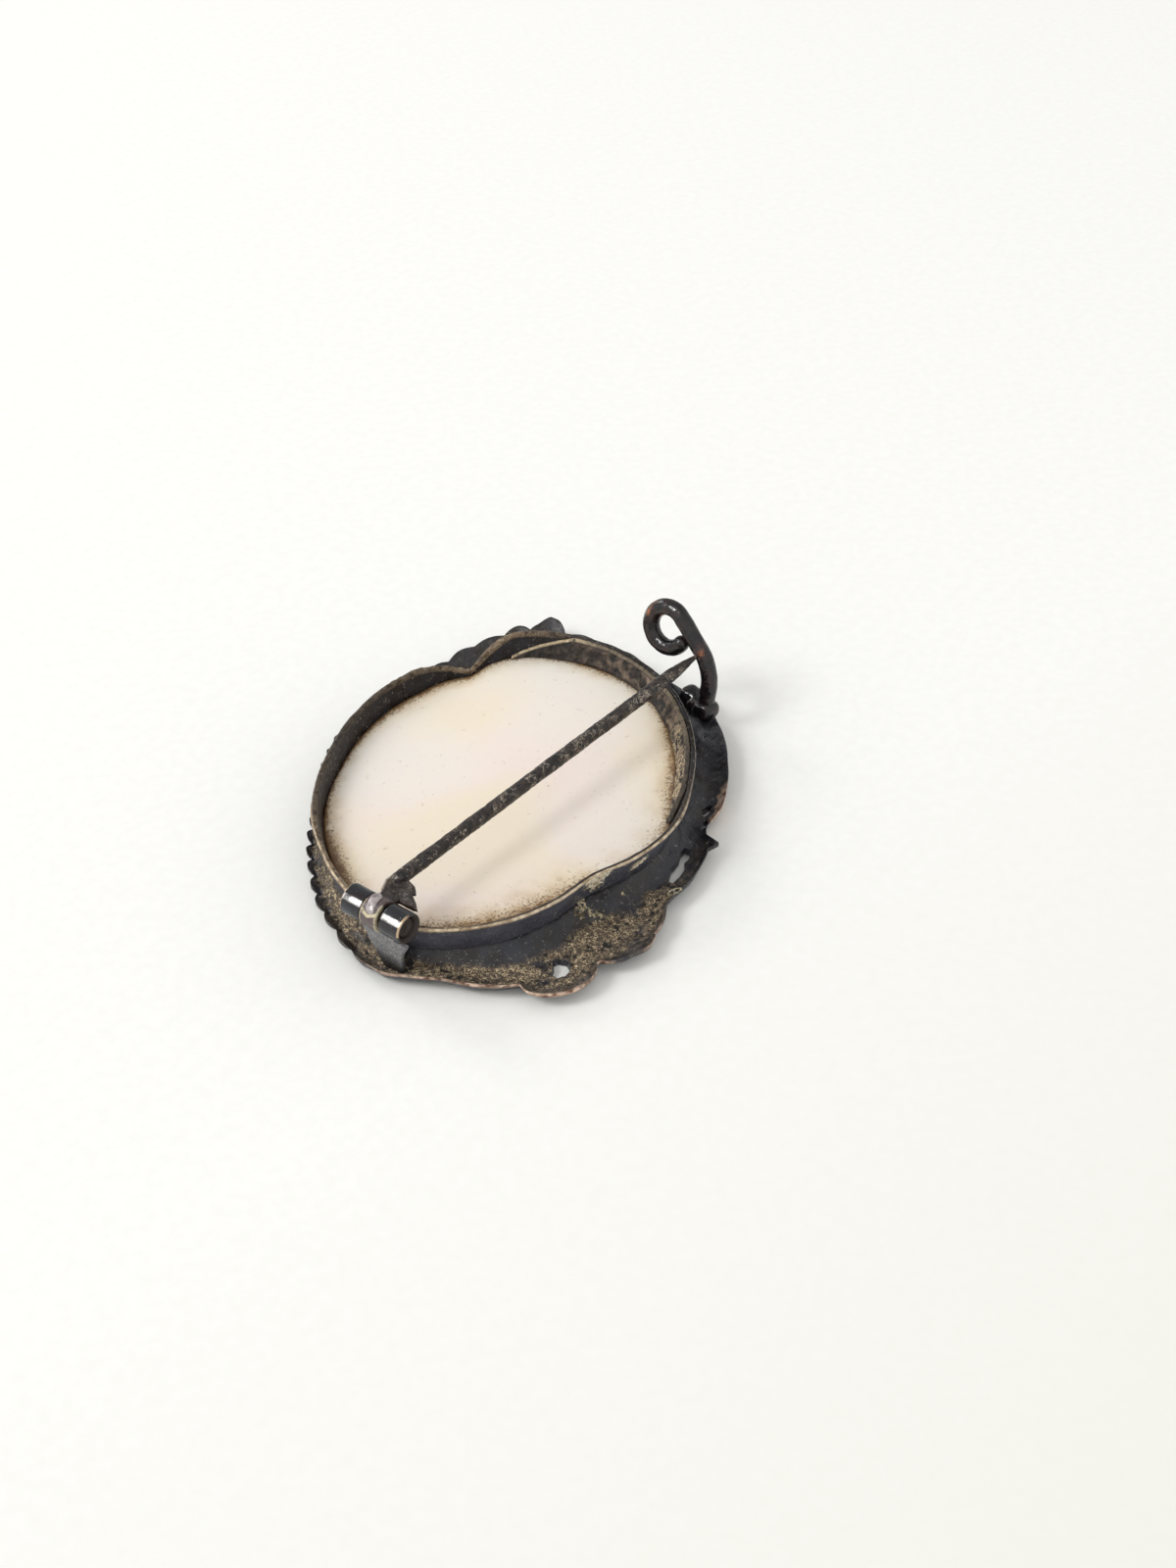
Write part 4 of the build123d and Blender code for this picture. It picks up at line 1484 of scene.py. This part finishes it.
@dataclass(frozen=True)
class Hinge:
    """The two knuckles on their plate, and the rivet through them."""

    outline: Outline
    angle: float = 194.5
    trough_share: float = 0.58
    knuckle_radius: float = 1.1
    bore_radius: float = 0.75
    first_knuckle: float = 1.7
    last_knuckle: float = 1.75
    first_ring: float = 0.08
    last_ring: float = 0.13
    ring_turn: float = 150.0
    # turn round the barrel, in degrees, of the painted highlight streak, where the lamp's highlight falls
    highlight_turn: float = 134.0
    rivet_recess: float = 0.25
    rivet_rounding: float = 0.14
    plate_outset: float = 0.8
    plate_thickness: float = 0.4
    plate_corner: float = 0.13
    plate_foot_width: float = 1.7
    plate_foot_inset: float = 0.7
    plate_flare: float = 0.35
    plate_tuck: float = 0.9
    plate_under_first: float = 0.34
    strap_width: float = 1.4
    first_gap: float = 0.1
    sides: int = 96

    def line(self) -> Array:
        """A point on the hinge's line, from the model's joint."""
        return np.array(frame["joints"][0]["pos_m"]) / METRES

    def start(self) -> float:
        """The first knuckle's open end, along Y."""
        return box_of("hinge_rivet")[1][1] + self.rivet_recess

    def end(self) -> float:
        """The last knuckle's open end, along Y."""
        return box_of("hinge_rivet")[0][1] - self.rivet_recess

    def strap_start(self) -> float:
        """The side of the pin's strap that faces the first knuckle, along Y."""
        return self.start() - self.first_knuckle - self.first_gap

    def knuckle(self, mouth: float, back: float, ring: float) -> Skin:
        """Makes one knuckle, whose mouth is opened by wear.

        Args:
            mouth: the open end, along Y.
            back: the end beside the strap, along Y.
            ring: the width of the pale ring rubbed at the mouth.

        Returns:
            The knuckle's skin.
        """
        into = 1 if back > mouth else -1
        r = self.knuckle_radius
        profile = (
            (mouth + into * 0.6, self.bore_radius),
            (mouth + into * 0.45, self.bore_radius),
            (mouth + into * 0.03, r - 0.16),
            (mouth, r - 0.11),
            (mouth + into * 0.02, r - 0.05),
            (mouth + into * 0.07, r - 0.01),
            *((mouth + into * step, r) for step in (0.13, 0.17, 0.21, 0.25, 0.3, 0.36)),
            *((mouth + (back - mouth) * share, r) for share in np.linspace(0.26, 0.94, 14)),
            (back - into * 0.05, r - 0.01),
            (back - into * 0.01, r - 0.04),
            (back, r - 0.1),
            (back, self.bore_radius),
        )
        centre = self.line() * (1, 0, 1)
        skin = Skin(turned(profile, centre, self.sides), round_rows=True)
        place = np.abs(skin.points[..., 1] - mouth)
        reach = np.hypot(skin.points[..., 0] - centre[0], skin.points[..., 2] - centre[2])
        side = step_up(reach, r - 0.1, r - 0.03)
        turn = turn_round(skin.points, centre)
        rubbed = side * (1 - step_up(place, ring, ring + 0.05))
        skin.marks = {
            Mark.BARE: rubbed * step_up(-np.abs(turn - self.ring_turn), -75, -45),
            # CRUST carries the painted highlight streak along the barrel
            Mark.CRUST: step_up(-np.abs(turn - self.highlight_turn), -13, -8) * side,
            Mark.SHADE: 1 - side,
        }
        skin.roughen(0.9, 0.02, seed=4.0)
        return skin

    def build_knuckles(self, kit: Kit) -> bpy.types.Object:
        """Builds both knuckles as one piece."""
        first = self.knuckle(self.start(), self.start() - self.first_knuckle, self.first_ring)
        last = self.knuckle(self.end(), self.end() + self.last_knuckle, self.last_ring)
        return make_piece("hinge_knuckles", [first, last], kit.tube, Body.BROOCH, "mount", "mount")

    def build_rivet(self, kit: Kit) -> bpy.types.Object:
        """Builds the rivet, with softly domed ends."""
        low, high = box_of("hinge_rivet")
        radius = (high[2] - low[2]) / 2
        soft = self.rivet_rounding
        steps = np.linspace(0, pi / 2, 6)
        head = [(high[1] - soft + soft * sin(t), radius - soft + soft * cos(t)) for t in steps]
        tail = [(low[1] + soft - soft * cos(t), radius - soft + soft * sin(t)) for t in steps]
        profile = ((low[1], 0.01), *tail, *head, (high[1], 0.01))
        skin = Skin(turned(profile, self.line() * (1, 0, 1), self.sides), round_rows=True)
        skin.marks = {Mark.SHADE: np.ones(skin.points.shape[:2])}
        return make_piece("rivet", [skin], kit.tube, Body.BROOCH, "rivet", "hinge_rivet")

    def plate_ring(self, x_sides: tuple[float, float], y_sides: tuple[float, float], z: float) -> Array:
        """Makes one level of the plate, as a ring with rounded corners.

        Args:
            x_sides: the outer and inner side, from the hinge's line.
            y_sides: the right and left side.
            z: the level's height.

        Returns:
            The ring's points.
        """
        corner = self.plate_corner
        x_line = self.line()[0]
        (outer, inner), (right, left) = x_sides, y_sides
        corners = (
            (outer, corner, right, corner, pi),
            (inner, -corner, right, corner, 1.5 * pi),
            (inner, -corner, left, -corner, 0),
            (outer, corner, left, -corner, 0.5 * pi),
        )
        return np.array([
            (x_line + x + x_in + corner * cos(t), y + y_in + corner * sin(t), z)
            for x, x_in, y, y_in, first in corners
            for t in np.linspace(first, first + pi / 2, 5)
        ])

    def build_plate(self, kit: Kit) -> bpy.types.Object:
        """Builds the plate from under the knuckles down to its foot in the border's trough."""
        shape = self.outline
        line = self.line()
        place = np.array(self.angle)
        trough = shape.border_reach(place, self.trough_share)
        foot_height = float(shape.back_height(place, 0)) - shape.border_sheet / 2
        foot_x = float(shape.at(place, trough, foot_height)[0]) - line[0]
        length = self.plate_under_first + self.start() - self.first_knuckle - self.end()
        full = line[2] - foot_height
        heights = np.linspace(0, full, 56)
        outer = -self.plate_outset + (foot_x + self.plate_outset) * heights / full
        inner = outer + self.plate_thickness
        spread = np.clip((full - heights) / (full - line[2] + shape.top_height), 0, 1)
        flare = self.plate_flare * step_up(spread, 0.5, 0.86)
        tuck = np.where(spread > self.plate_tuck, self.plate_foot_inset, -flare)
        right = self.end() + self.plate_foot_inset * (1 - spread**3) + tuck
        foot_left = self.plate_foot_inset + self.plate_foot_width
        left = self.end() + foot_left + (length - foot_left) * spread
        levels = zip(outer, inner, right, left, line[2] - heights)
        skin = Skin(np.array([self.plate_ring((x0, x1), (y0, y1), z) for x0, x1, y0, y1, z in levels]))
        low = np.broadcast_to((heights / full)[:, None], skin.points.shape[:2])
        skin.marks = {Mark.SHADE: step_up(low, 0.48, 0.9)}
        skin.roughen(0.8, 0.04, seed=6.0)
        return make_piece("hinge_plate", [skin], kit.plate, Body.BROOCH, "mount", "mount")


@dataclass(frozen=True)
class Catch:
    """The bent wire that holds the pin's point, and the solder round its foot."""

    outline: Outline
    angle: float = 344.3
    place: float = 0.95
    lean: float = 10.0
    radius: float = 0.66
    shaft: float = 1.8
    bend_radius: float = 4.0
    bend_turn: float = 47.5
    slope: float = 2.74
    curl_radius: float = 1.63
    curl_turn: float = 280.0
    solder_radius: float = 0.78
    knob_angle: float = 350.0
    knob_radius: float = 0.92
    squareness: float = 0.65
    rubbed: tuple[tuple[float, float], ...] = ((0.27, 0.07), (0.66, 0.1))
    step: float = 0.08
    sides: int = 40

    def foot(self, angle: float) -> Array:
        """The point on the border's edge where the wire or the knob stands."""
        shape = self.outline
        place = np.array(angle)
        return shape.at(place, shape.border_reach(place, self.place), shape.back_height(place, 1))

    def path(self) -> Array:
        """Works out the wire's line in its own plane.

        Returns:
            Rows of place across, place up and heading, in millimetres and radians.
        """
        rows = []
        x, y, heading = 0.0, -self.outline.edge_sheet, pi / 2
        legs = (
            (self.outline.edge_sheet + self.shaft, 0.0),
            (self.bend_radius * radians(self.bend_turn), -radians(self.bend_turn)),
            (self.slope, 0.0),
            (self.curl_radius * radians(self.curl_turn), -radians(self.curl_turn)),
        )
        for length, turn in legs:
            count = max(2, round(length / self.step))
            for _ in range(count):
                rows.append((x, y, heading))
                heading += turn / count / 2
                x += length / count * cos(heading)
                y += length / count * sin(heading)
                heading += turn / count / 2
        rows.append((x, y, heading))
        return np.array(rows)

    def build_wire(self, kit: Kit) -> bpy.types.Object:
        """Builds the wire, with a rounded end."""
        foot = self.foot(self.angle)
        normal = np.array([cos(radians(self.lean)), 0, -sin(radians(self.lean))])
        side = np.array([0.0, 1.0, 0.0])
        up = np.cross(normal, side)
        rows = self.path()
        heading = rows[-1, 2]
        way = np.array([cos(heading), sin(heading)])
        turns = np.linspace(0.2, pi / 2 - 0.05, 8)
        tip = [(*(rows[-1, :2] + self.radius * sin(t) * way), heading) for t in turns]
        tip_radii = [self.radius * cos(t) for t in turns]
        radii = np.concatenate([np.full(len(rows), self.radius), tip_radii])
        rows = np.concatenate([rows, tip])
        path = foot + rows[:, :1] * side + rows[:, 1:2] * up
        left = -np.sin(rows[:, 2:]) * side + np.cos(rows[:, 2:]) * up
        grid = swept(path, left, np.broadcast_to(normal, left.shape), radii, self.sides)
        skin = Skin(grid)
        along = np.broadcast_to(np.linspace(0, 1, len(rows))[:, None], grid.shape[:2])
        worn = [1 - np.abs(along - place) / half_width for place, half_width in self.rubbed]
        skin.marks = {Mark.BARE: np.maximum(*worn)}
        skin.roughen(1.1, 0.04, seed=3.0)
        skin.roughen(0.35, 0.012, seed=9.0)
        return make_piece("catch_wire", [skin], kit.wire, Body.BROOCH, "mount", "mount")

    def build_solder(self, kit: Kit) -> bpy.types.Object:
        """Builds the black solder round the wire's foot and the knob beside it."""
        foot, knob = self.foot(self.angle), self.foot(self.knob_angle)
        blobs = [
            (foot, self.solder_radius * 1.25, 0.8),
            ((foot + knob) / 2, self.solder_radius, 0.8),
            (knob, self.knob_radius, 0.95),
        ]
        skins = []
        t = np.linspace(0.03, pi - 0.03, 28)
        for centre, radius, squash in blobs:
            axis = centre + np.array([0, 0, 1]) * (np.cos(t) * radius * squash)[:, None]
            across = np.broadcast_to([1.0, 0, 0], axis.shape)
            up = np.broadcast_to([0, 1.0, 0], axis.shape)
            skin = Skin(swept(axis, across, up, np.sin(t) ** self.squareness * radius, 40, self.squareness))
            skin.roughen(0.7, 0.12, seed=radius)
            skins.append(skin)
        return make_piece("catch_solder", skins, kit.wire, Body.BROOCH, "mount", "mount")


@dataclass(frozen=True)
class SwingPin:
    """The pin that swings on the hinge: strap, tab, torn sheet and stem."""

    hinge: Hinge
    strap_sheet: float = 0.4
    tab_length: float = 0.45
    tab_width: float = 0.66
    tab_corner: float = 0.25
    tab_wrap: float = 58.0
    tab_skew: float = 0.3
    root_sheet: float = 0.45
    root_length: float = 1.95
    root_width: float = 3.9
    root_overhang: float = 0.65
    root_slope: float = 0.45
    pin_offset: float = 0.5
    radius: float = 0.48
    taper: float = 3.2
    taper_radius: float = 0.34
    point_radius: float = 0.14
    rise: float = 0.6
    lean: float = 0.4
    swing_gap: float = 0.15
    stem_start: float = 0.7
    stem_sides: int = 40
    web_overlap: float = 0.1
    web_inset: float = 0.02
    torn: Table = (
        (0.0, 0.95), (0.22, 0.82), (0.51, 0.60), (0.62, 0.64), (0.86, 0.51), (0.93, 0.41), (1.0, 0.28),
    )

    def strap_radius(self) -> float:
        """Radius of the strap's outside."""
        return self.hinge.bore_radius + self.strap_sheet

    def strap_middle(self) -> float:
        """The middle of the strap, along Y."""
        return self.hinge.strap_start() - self.hinge.strap_width / 2

    def height(self) -> float:
        """Height of the torn sheet's middle above the paper."""
        return self.hinge.line()[2] + self.pin_offset

    def sheet_x(self) -> float:
        """Where the torn sheet starts, just clear of the knuckles."""
        return self.hinge.line()[0] + max(self.strap_radius(), self.hinge.knuckle_radius) + self.swing_gap

    def sheet_y(self) -> float:
        """The torn sheet's straight side."""
        return self.hinge.strap_start() + self.root_overhang

    def strap(self) -> Skin:
        """Makes the strap round the rivet, with a streak of pale solder and crusted edges."""
        line = self.hinge.line()
        start = self.hinge.strap_start()
        end = start - self.hinge.strap_width
        profile = rounded_bar(end, start, self.hinge.bore_radius, self.strap_radius(), 0.08)
        loop = Skin(turned(profile, line * (1, 0, 1), 120), round_rows=True)
        across = np.abs(loop.points[..., 1] - self.strap_middle()) / (self.hinge.strap_width / 2)
        turn = turn_round(loop.points, line) % 360
        solder = 1 - step_up(np.abs(turn - 158 + 16 * across), 4, 9)
        edges = step_up(across, 0.84, 0.93) * step_up(turn, 96, 110)
        loop.marks = {Mark.CRUST: np.maximum(solder, edges * 0.8)}
        loop.roughen(0.6, 0.02, seed=2.0)
        return loop

    def tab(self) -> Skin:
        """Makes the tab that lies on the strap and bends down over it."""
        line = self.hinge.line()
        outer = self.strap_radius()
        wrap = radians(self.tab_wrap)
        bend = (outer + 0.06) * wrap
        along = np.linspace(0, bend + self.tab_length, 48)
        bent = np.clip(1 - along / bend, 0, 1) * wrap
        straight = np.maximum(0, along - bend)
        corner = self.tab_corner
        over = np.clip(corner - np.minimum(along, along[-1] - along), 0, corner)
        half = self.tab_width / 2 - corner + np.sqrt(corner**2 - over**2)
        across = np.linspace(-1, 1, 20)[None, :]
        lift = (0.1 + 0.05 * (1 - np.abs(across) ** 4)) * step_up(along, 0, 0.3)[:, None]
        y = self.strap_middle() + self.tab_skew * (0.5 - bent / wrap)[:, None] + half[:, None] * across
        layers = []
        for reach in (outer + lift, outer - 0.2 + lift * 0):
            x = line[0] - reach * np.sin(bent)[:, None] + straight[:, None]
            z = line[2] + reach * np.cos(bent)[:, None]
            layers.append(np.stack(np.broadcast_arrays(x, y, z), axis=-1))
        # the whole tab takes the strap's painted sheen through the SHADE mark
        return plate_skin(*layers, {Mark.SHADE: np.ones(y.shape)})

    def sheet(self) -> Skin:
        """Makes the torn sheet, scooped between its thick straight side and its thin torn one."""
        start_x, start_y = self.sheet_x(), self.sheet_y()
        pin_z = self.height()
        share = np.linspace(0, 1, 60)
        torn_share, torn_width = np.array(self.torn).T
        left = -self.root_slope * np.clip(1 - 2 * share, 0, 1)
        right = -self.root_width * np.interp(share, torn_share, torn_width)
        across = np.linspace(0, 1, 36)[None, :]
        y = start_y + left[:, None] + (right - left)[:, None] * across
        x = start_x + self.root_length * share[:, None] + y * 0
        scoop = 0.22 * np.sin(pi * np.clip(across * 1.1, 0, 1)) ** 1.5 * (1 - 0.5 * share[:, None])
        edge = 0.12 * step_up(across, 0.85, 1.0)
        half = self.root_sheet / 2
        top = np.stack([x, y, pin_z + half - scoop - edge], axis=-1)
        bottom = np.stack([x, y, pin_z - half + edge + x * 0], axis=-1)
        line = 1 - step_up(across + x * 0, 0.02, 0.07)
        sheet = plate_skin(top, bottom, {Mark.BARE: line, Mark.CRUST: np.full(line.shape, 0.35)})
        sheet.roughen(0.5, 0.03, seed=4.0)
        return sheet

    def web(self) -> Skin:
        """Makes the flat web that joins the strap to the torn sheet."""
        overlap = self.web_overlap
        inner_x = self.hinge.line()[0] + self.hinge.bore_radius + overlap
        x = np.linspace(inner_x, self.sheet_x() + overlap, 8)[:, None]
        start_y = self.hinge.strap_start()
        y = np.linspace(start_y, start_y - self.hinge.strap_width, 8)[None, :]
        z = self.height() + self.root_sheet / 2 - self.web_inset
        top = np.stack(np.broadcast_arrays(x, y, z), axis=-1)
        return plate_skin(top, top - (0, 0, self.root_sheet - 2 * self.web_inset))

    def build_strap(self, kit: Kit) -> bpy.types.Object:
        """Builds the strap and the tab that lies on it."""
        return make_piece("pin_strap", [self.strap(), self.tab()], kit.strap, Body.PIN, "pin", "pin")

    def build_sheet(self, kit: Kit) -> bpy.types.Object:
        """Builds the torn sheet and the web that holds it to the strap."""
        return make_piece("pin_root", [self.sheet(), self.web()], kit.steel, Body.PIN, "pin", "pin")

    def build_stem(self, kit: Kit) -> bpy.types.Object:
        """Builds the pitted stem and its drawn point."""
        pin_z = self.height()
        start = np.array([self.sheet_x() + self.root_length / 2, self.sheet_y() - self.radius, pin_z])
        high = box_of("pin")[1]
        point = np.array([high[0], start[1] - self.lean, pin_z + self.rise])
        axis = point - start
        length = float(np.linalg.norm(axis))
        axis = axis / length
        across = np.cross(axis, (0, 0, 1.0))
        across = across / np.linalg.norm(across)
        up = np.cross(across, axis)
        body = np.linspace(0, length - self.stem_start, 420)
        first = self.stem_start - self.radius
        taper = (length - self.taper, length - self.taper / 2, length)
        knots = [first, first + 0.08, first + 0.28, self.stem_start, *taper]
        reach = [0.02, 0.26, 0.43, self.radius, self.radius, self.taper_radius, self.point_radius]
        places = np.concatenate([np.linspace(-self.radius, -0.02, 10), body]) + self.stem_start
        radii = np.interp(places, knots, reach)
        path = start + places[:, None] * axis
        sides = np.broadcast_to(across, path.shape), np.broadcast_to(up, path.shape)
        skin = Skin(swept(path, *sides, radii, self.stem_sides, 0.8))
        skin.marks = {Mark.CRUST: np.ones(skin.points.shape[:2])}
        skin.roughen(1.6, 0.03, seed=1.0)
        skin.roughen(0.28, 0.03, seed=6.0)
        return make_piece("pin_stem", [skin], kit.steel, Body.PIN, "pin", "pin")


@dataclass(frozen=True)
class Studio:
    """The paper, the light and the camera."""

    target: tuple[float, float, float] = (6.0, -1.52, 0.0)
    heading: float = 51.8
    elevation: float = 37.0
    distance: float = 162.96
    focal_pixels: float = 2200.0
    frame_pixels: float = 1600.0
    sensor: float = 36.0
    lamp_distance: float = 1500.0
    paper_half: float = 600.0
    room_colour: tuple[float, ...] = (1.0, 0.994, 0.984, 1.0)
    room_strengths: tuple[float, float] = (0.94, 0.5)
    dim_elevation: float = 40.0

    def right(self) -> Array:
        """The camera's right, in plan."""
        return np.array([cos(radians(-self.heading)), sin(radians(-self.heading)), 0.0])

    def ahead(self) -> Array:
        """The way that the camera looks, in plan."""
        return np.array([sin(radians(self.heading)), cos(radians(self.heading)), 0.0])

    def place_camera(self) -> None:
        """Places the camera at the photograph's angle."""
        lens = bpy.data.cameras.new("camera")
        lens.sensor_width = self.sensor
        lens.lens = self.sensor * self.focal_pixels / self.frame_pixels
        lens.clip_start = 0.001
        camera = put("camera", lens)
        down = radians(self.elevation)
        look = self.ahead() * cos(down) - np.array([0, 0, sin(down)])
        camera.location = Vector((np.array(self.target) - look * self.distance) * METRES)
        camera.rotation_mode = "QUATERNION"
        camera.rotation_quaternion = Vector(look).to_track_quat("-Z", "Y")
        bpy.context.scene.camera = camera

    def light(
        self, name: str, way: tuple[float, float, float], size: float, power: float
    ) -> bpy.types.Object:
        """Adds one soft light.

        Args:
            name: the light's name.
            way: how far it stands to the camera's right, ahead and up, as shares.
            size: its width, in millimetres.
            power: its power, in watts.

        Returns:
            The light.
        """
        lamp = bpy.data.lights.new(name, "AREA")
        lamp.size = size * METRES
        lamp.energy = power
        placed = put(name, lamp)
        towards = self.right() * way[0] + self.ahead() * way[1] + np.array([0, 0, way[2]])
        towards = Vector(towards / np.linalg.norm(towards))
        placed.location = towards * (self.lamp_distance * METRES)
        placed.rotation_mode = "QUATERNION"
        placed.rotation_quaternion = towards.to_track_quat("Z", "Y")
        return placed

    def room(self) -> None:
        """Adds the white room, whose far side is dimmer."""
        world = bpy.data.worlds.new("room")
        world.use_nodes = True
        tree = world.node_tree
        up = radians(self.dim_elevation)
        dim_side = tuple(self.ahead() * cos(up) + np.array([0, 0, sin(up)]))
        way = add_node(tree, "ShaderNodeTexCoord", {}, "Generated")
        facing = add_node(
            tree, "ShaderNodeVectorMath", {0: way, 1: dim_side}, "Value", operation="DOT_PRODUCT"
        )
        full, dimmed = self.room_strengths
        limits = {"Value": facing, "From Min": 0.2, "From Max": 0.95, "To Min": full, "To Max": dimmed}
        strength = add_node(tree, "ShaderNodeMapRange", limits)
        join(tree.nodes["Background"], {"Color": self.room_colour, "Strength": strength})
        bpy.context.scene.world = world

    def build(self, paper: bpy.types.Material) -> None:
        """Sets up the paper, the lights and the camera.

        Args:
            paper: the material of the floor.
        """
        mesh = bpy.data.meshes.new("paper")
        half = self.paper_half * METRES
        corners = [(-half, -half, 0), (half, -half, 0), (half, half, 0), (-half, half, 0)]
        mesh.from_pydata(corners, [], [(0, 1, 2, 3)])
        floor = put("paper", mesh)
        mesh.materials.append(paper)
        self.room()
        self.light("window", (-7.9, -3.2, 8.2), 520, 8.2)
        self.light("far_window", (-6.0, 5.5, 5.0), 400, 3.7)
        self.light("glint", (-5.2, -3.4, 8.2), 230, 9.0).visible_diffuse = False
        self.place_camera()
        bpy.context.scene.view_settings.view_transform = "Standard"


def main() -> None:
    """Builds the brooch piece by piece, then the studio round it."""
    logging.basicConfig(level=logging.INFO, format="%(name)s: %(message)s")
    outline = Outline()
    hinge = Hinge(outline)
    catch = Catch(outline)
    pin = SwingPin(hinge)
    kit = Kit()
    Collar(outline).build(kit)
    StampedBorder(outline).build(kit)
    Plaque(outline).build(kit)
    RetainingStrip(outline).build(kit)
    hinge.build_plate(kit)
    hinge.build_knuckles(kit)
    hinge.build_rivet(kit)
    catch.build_wire(kit)
    catch.build_solder(kit)
    pin.build_strap(kit)
    pin.build_sheet(kit)
    pin.build_stem(kit)
    Studio().build(kit.paper)


if __name__ == "__main__":
    main()
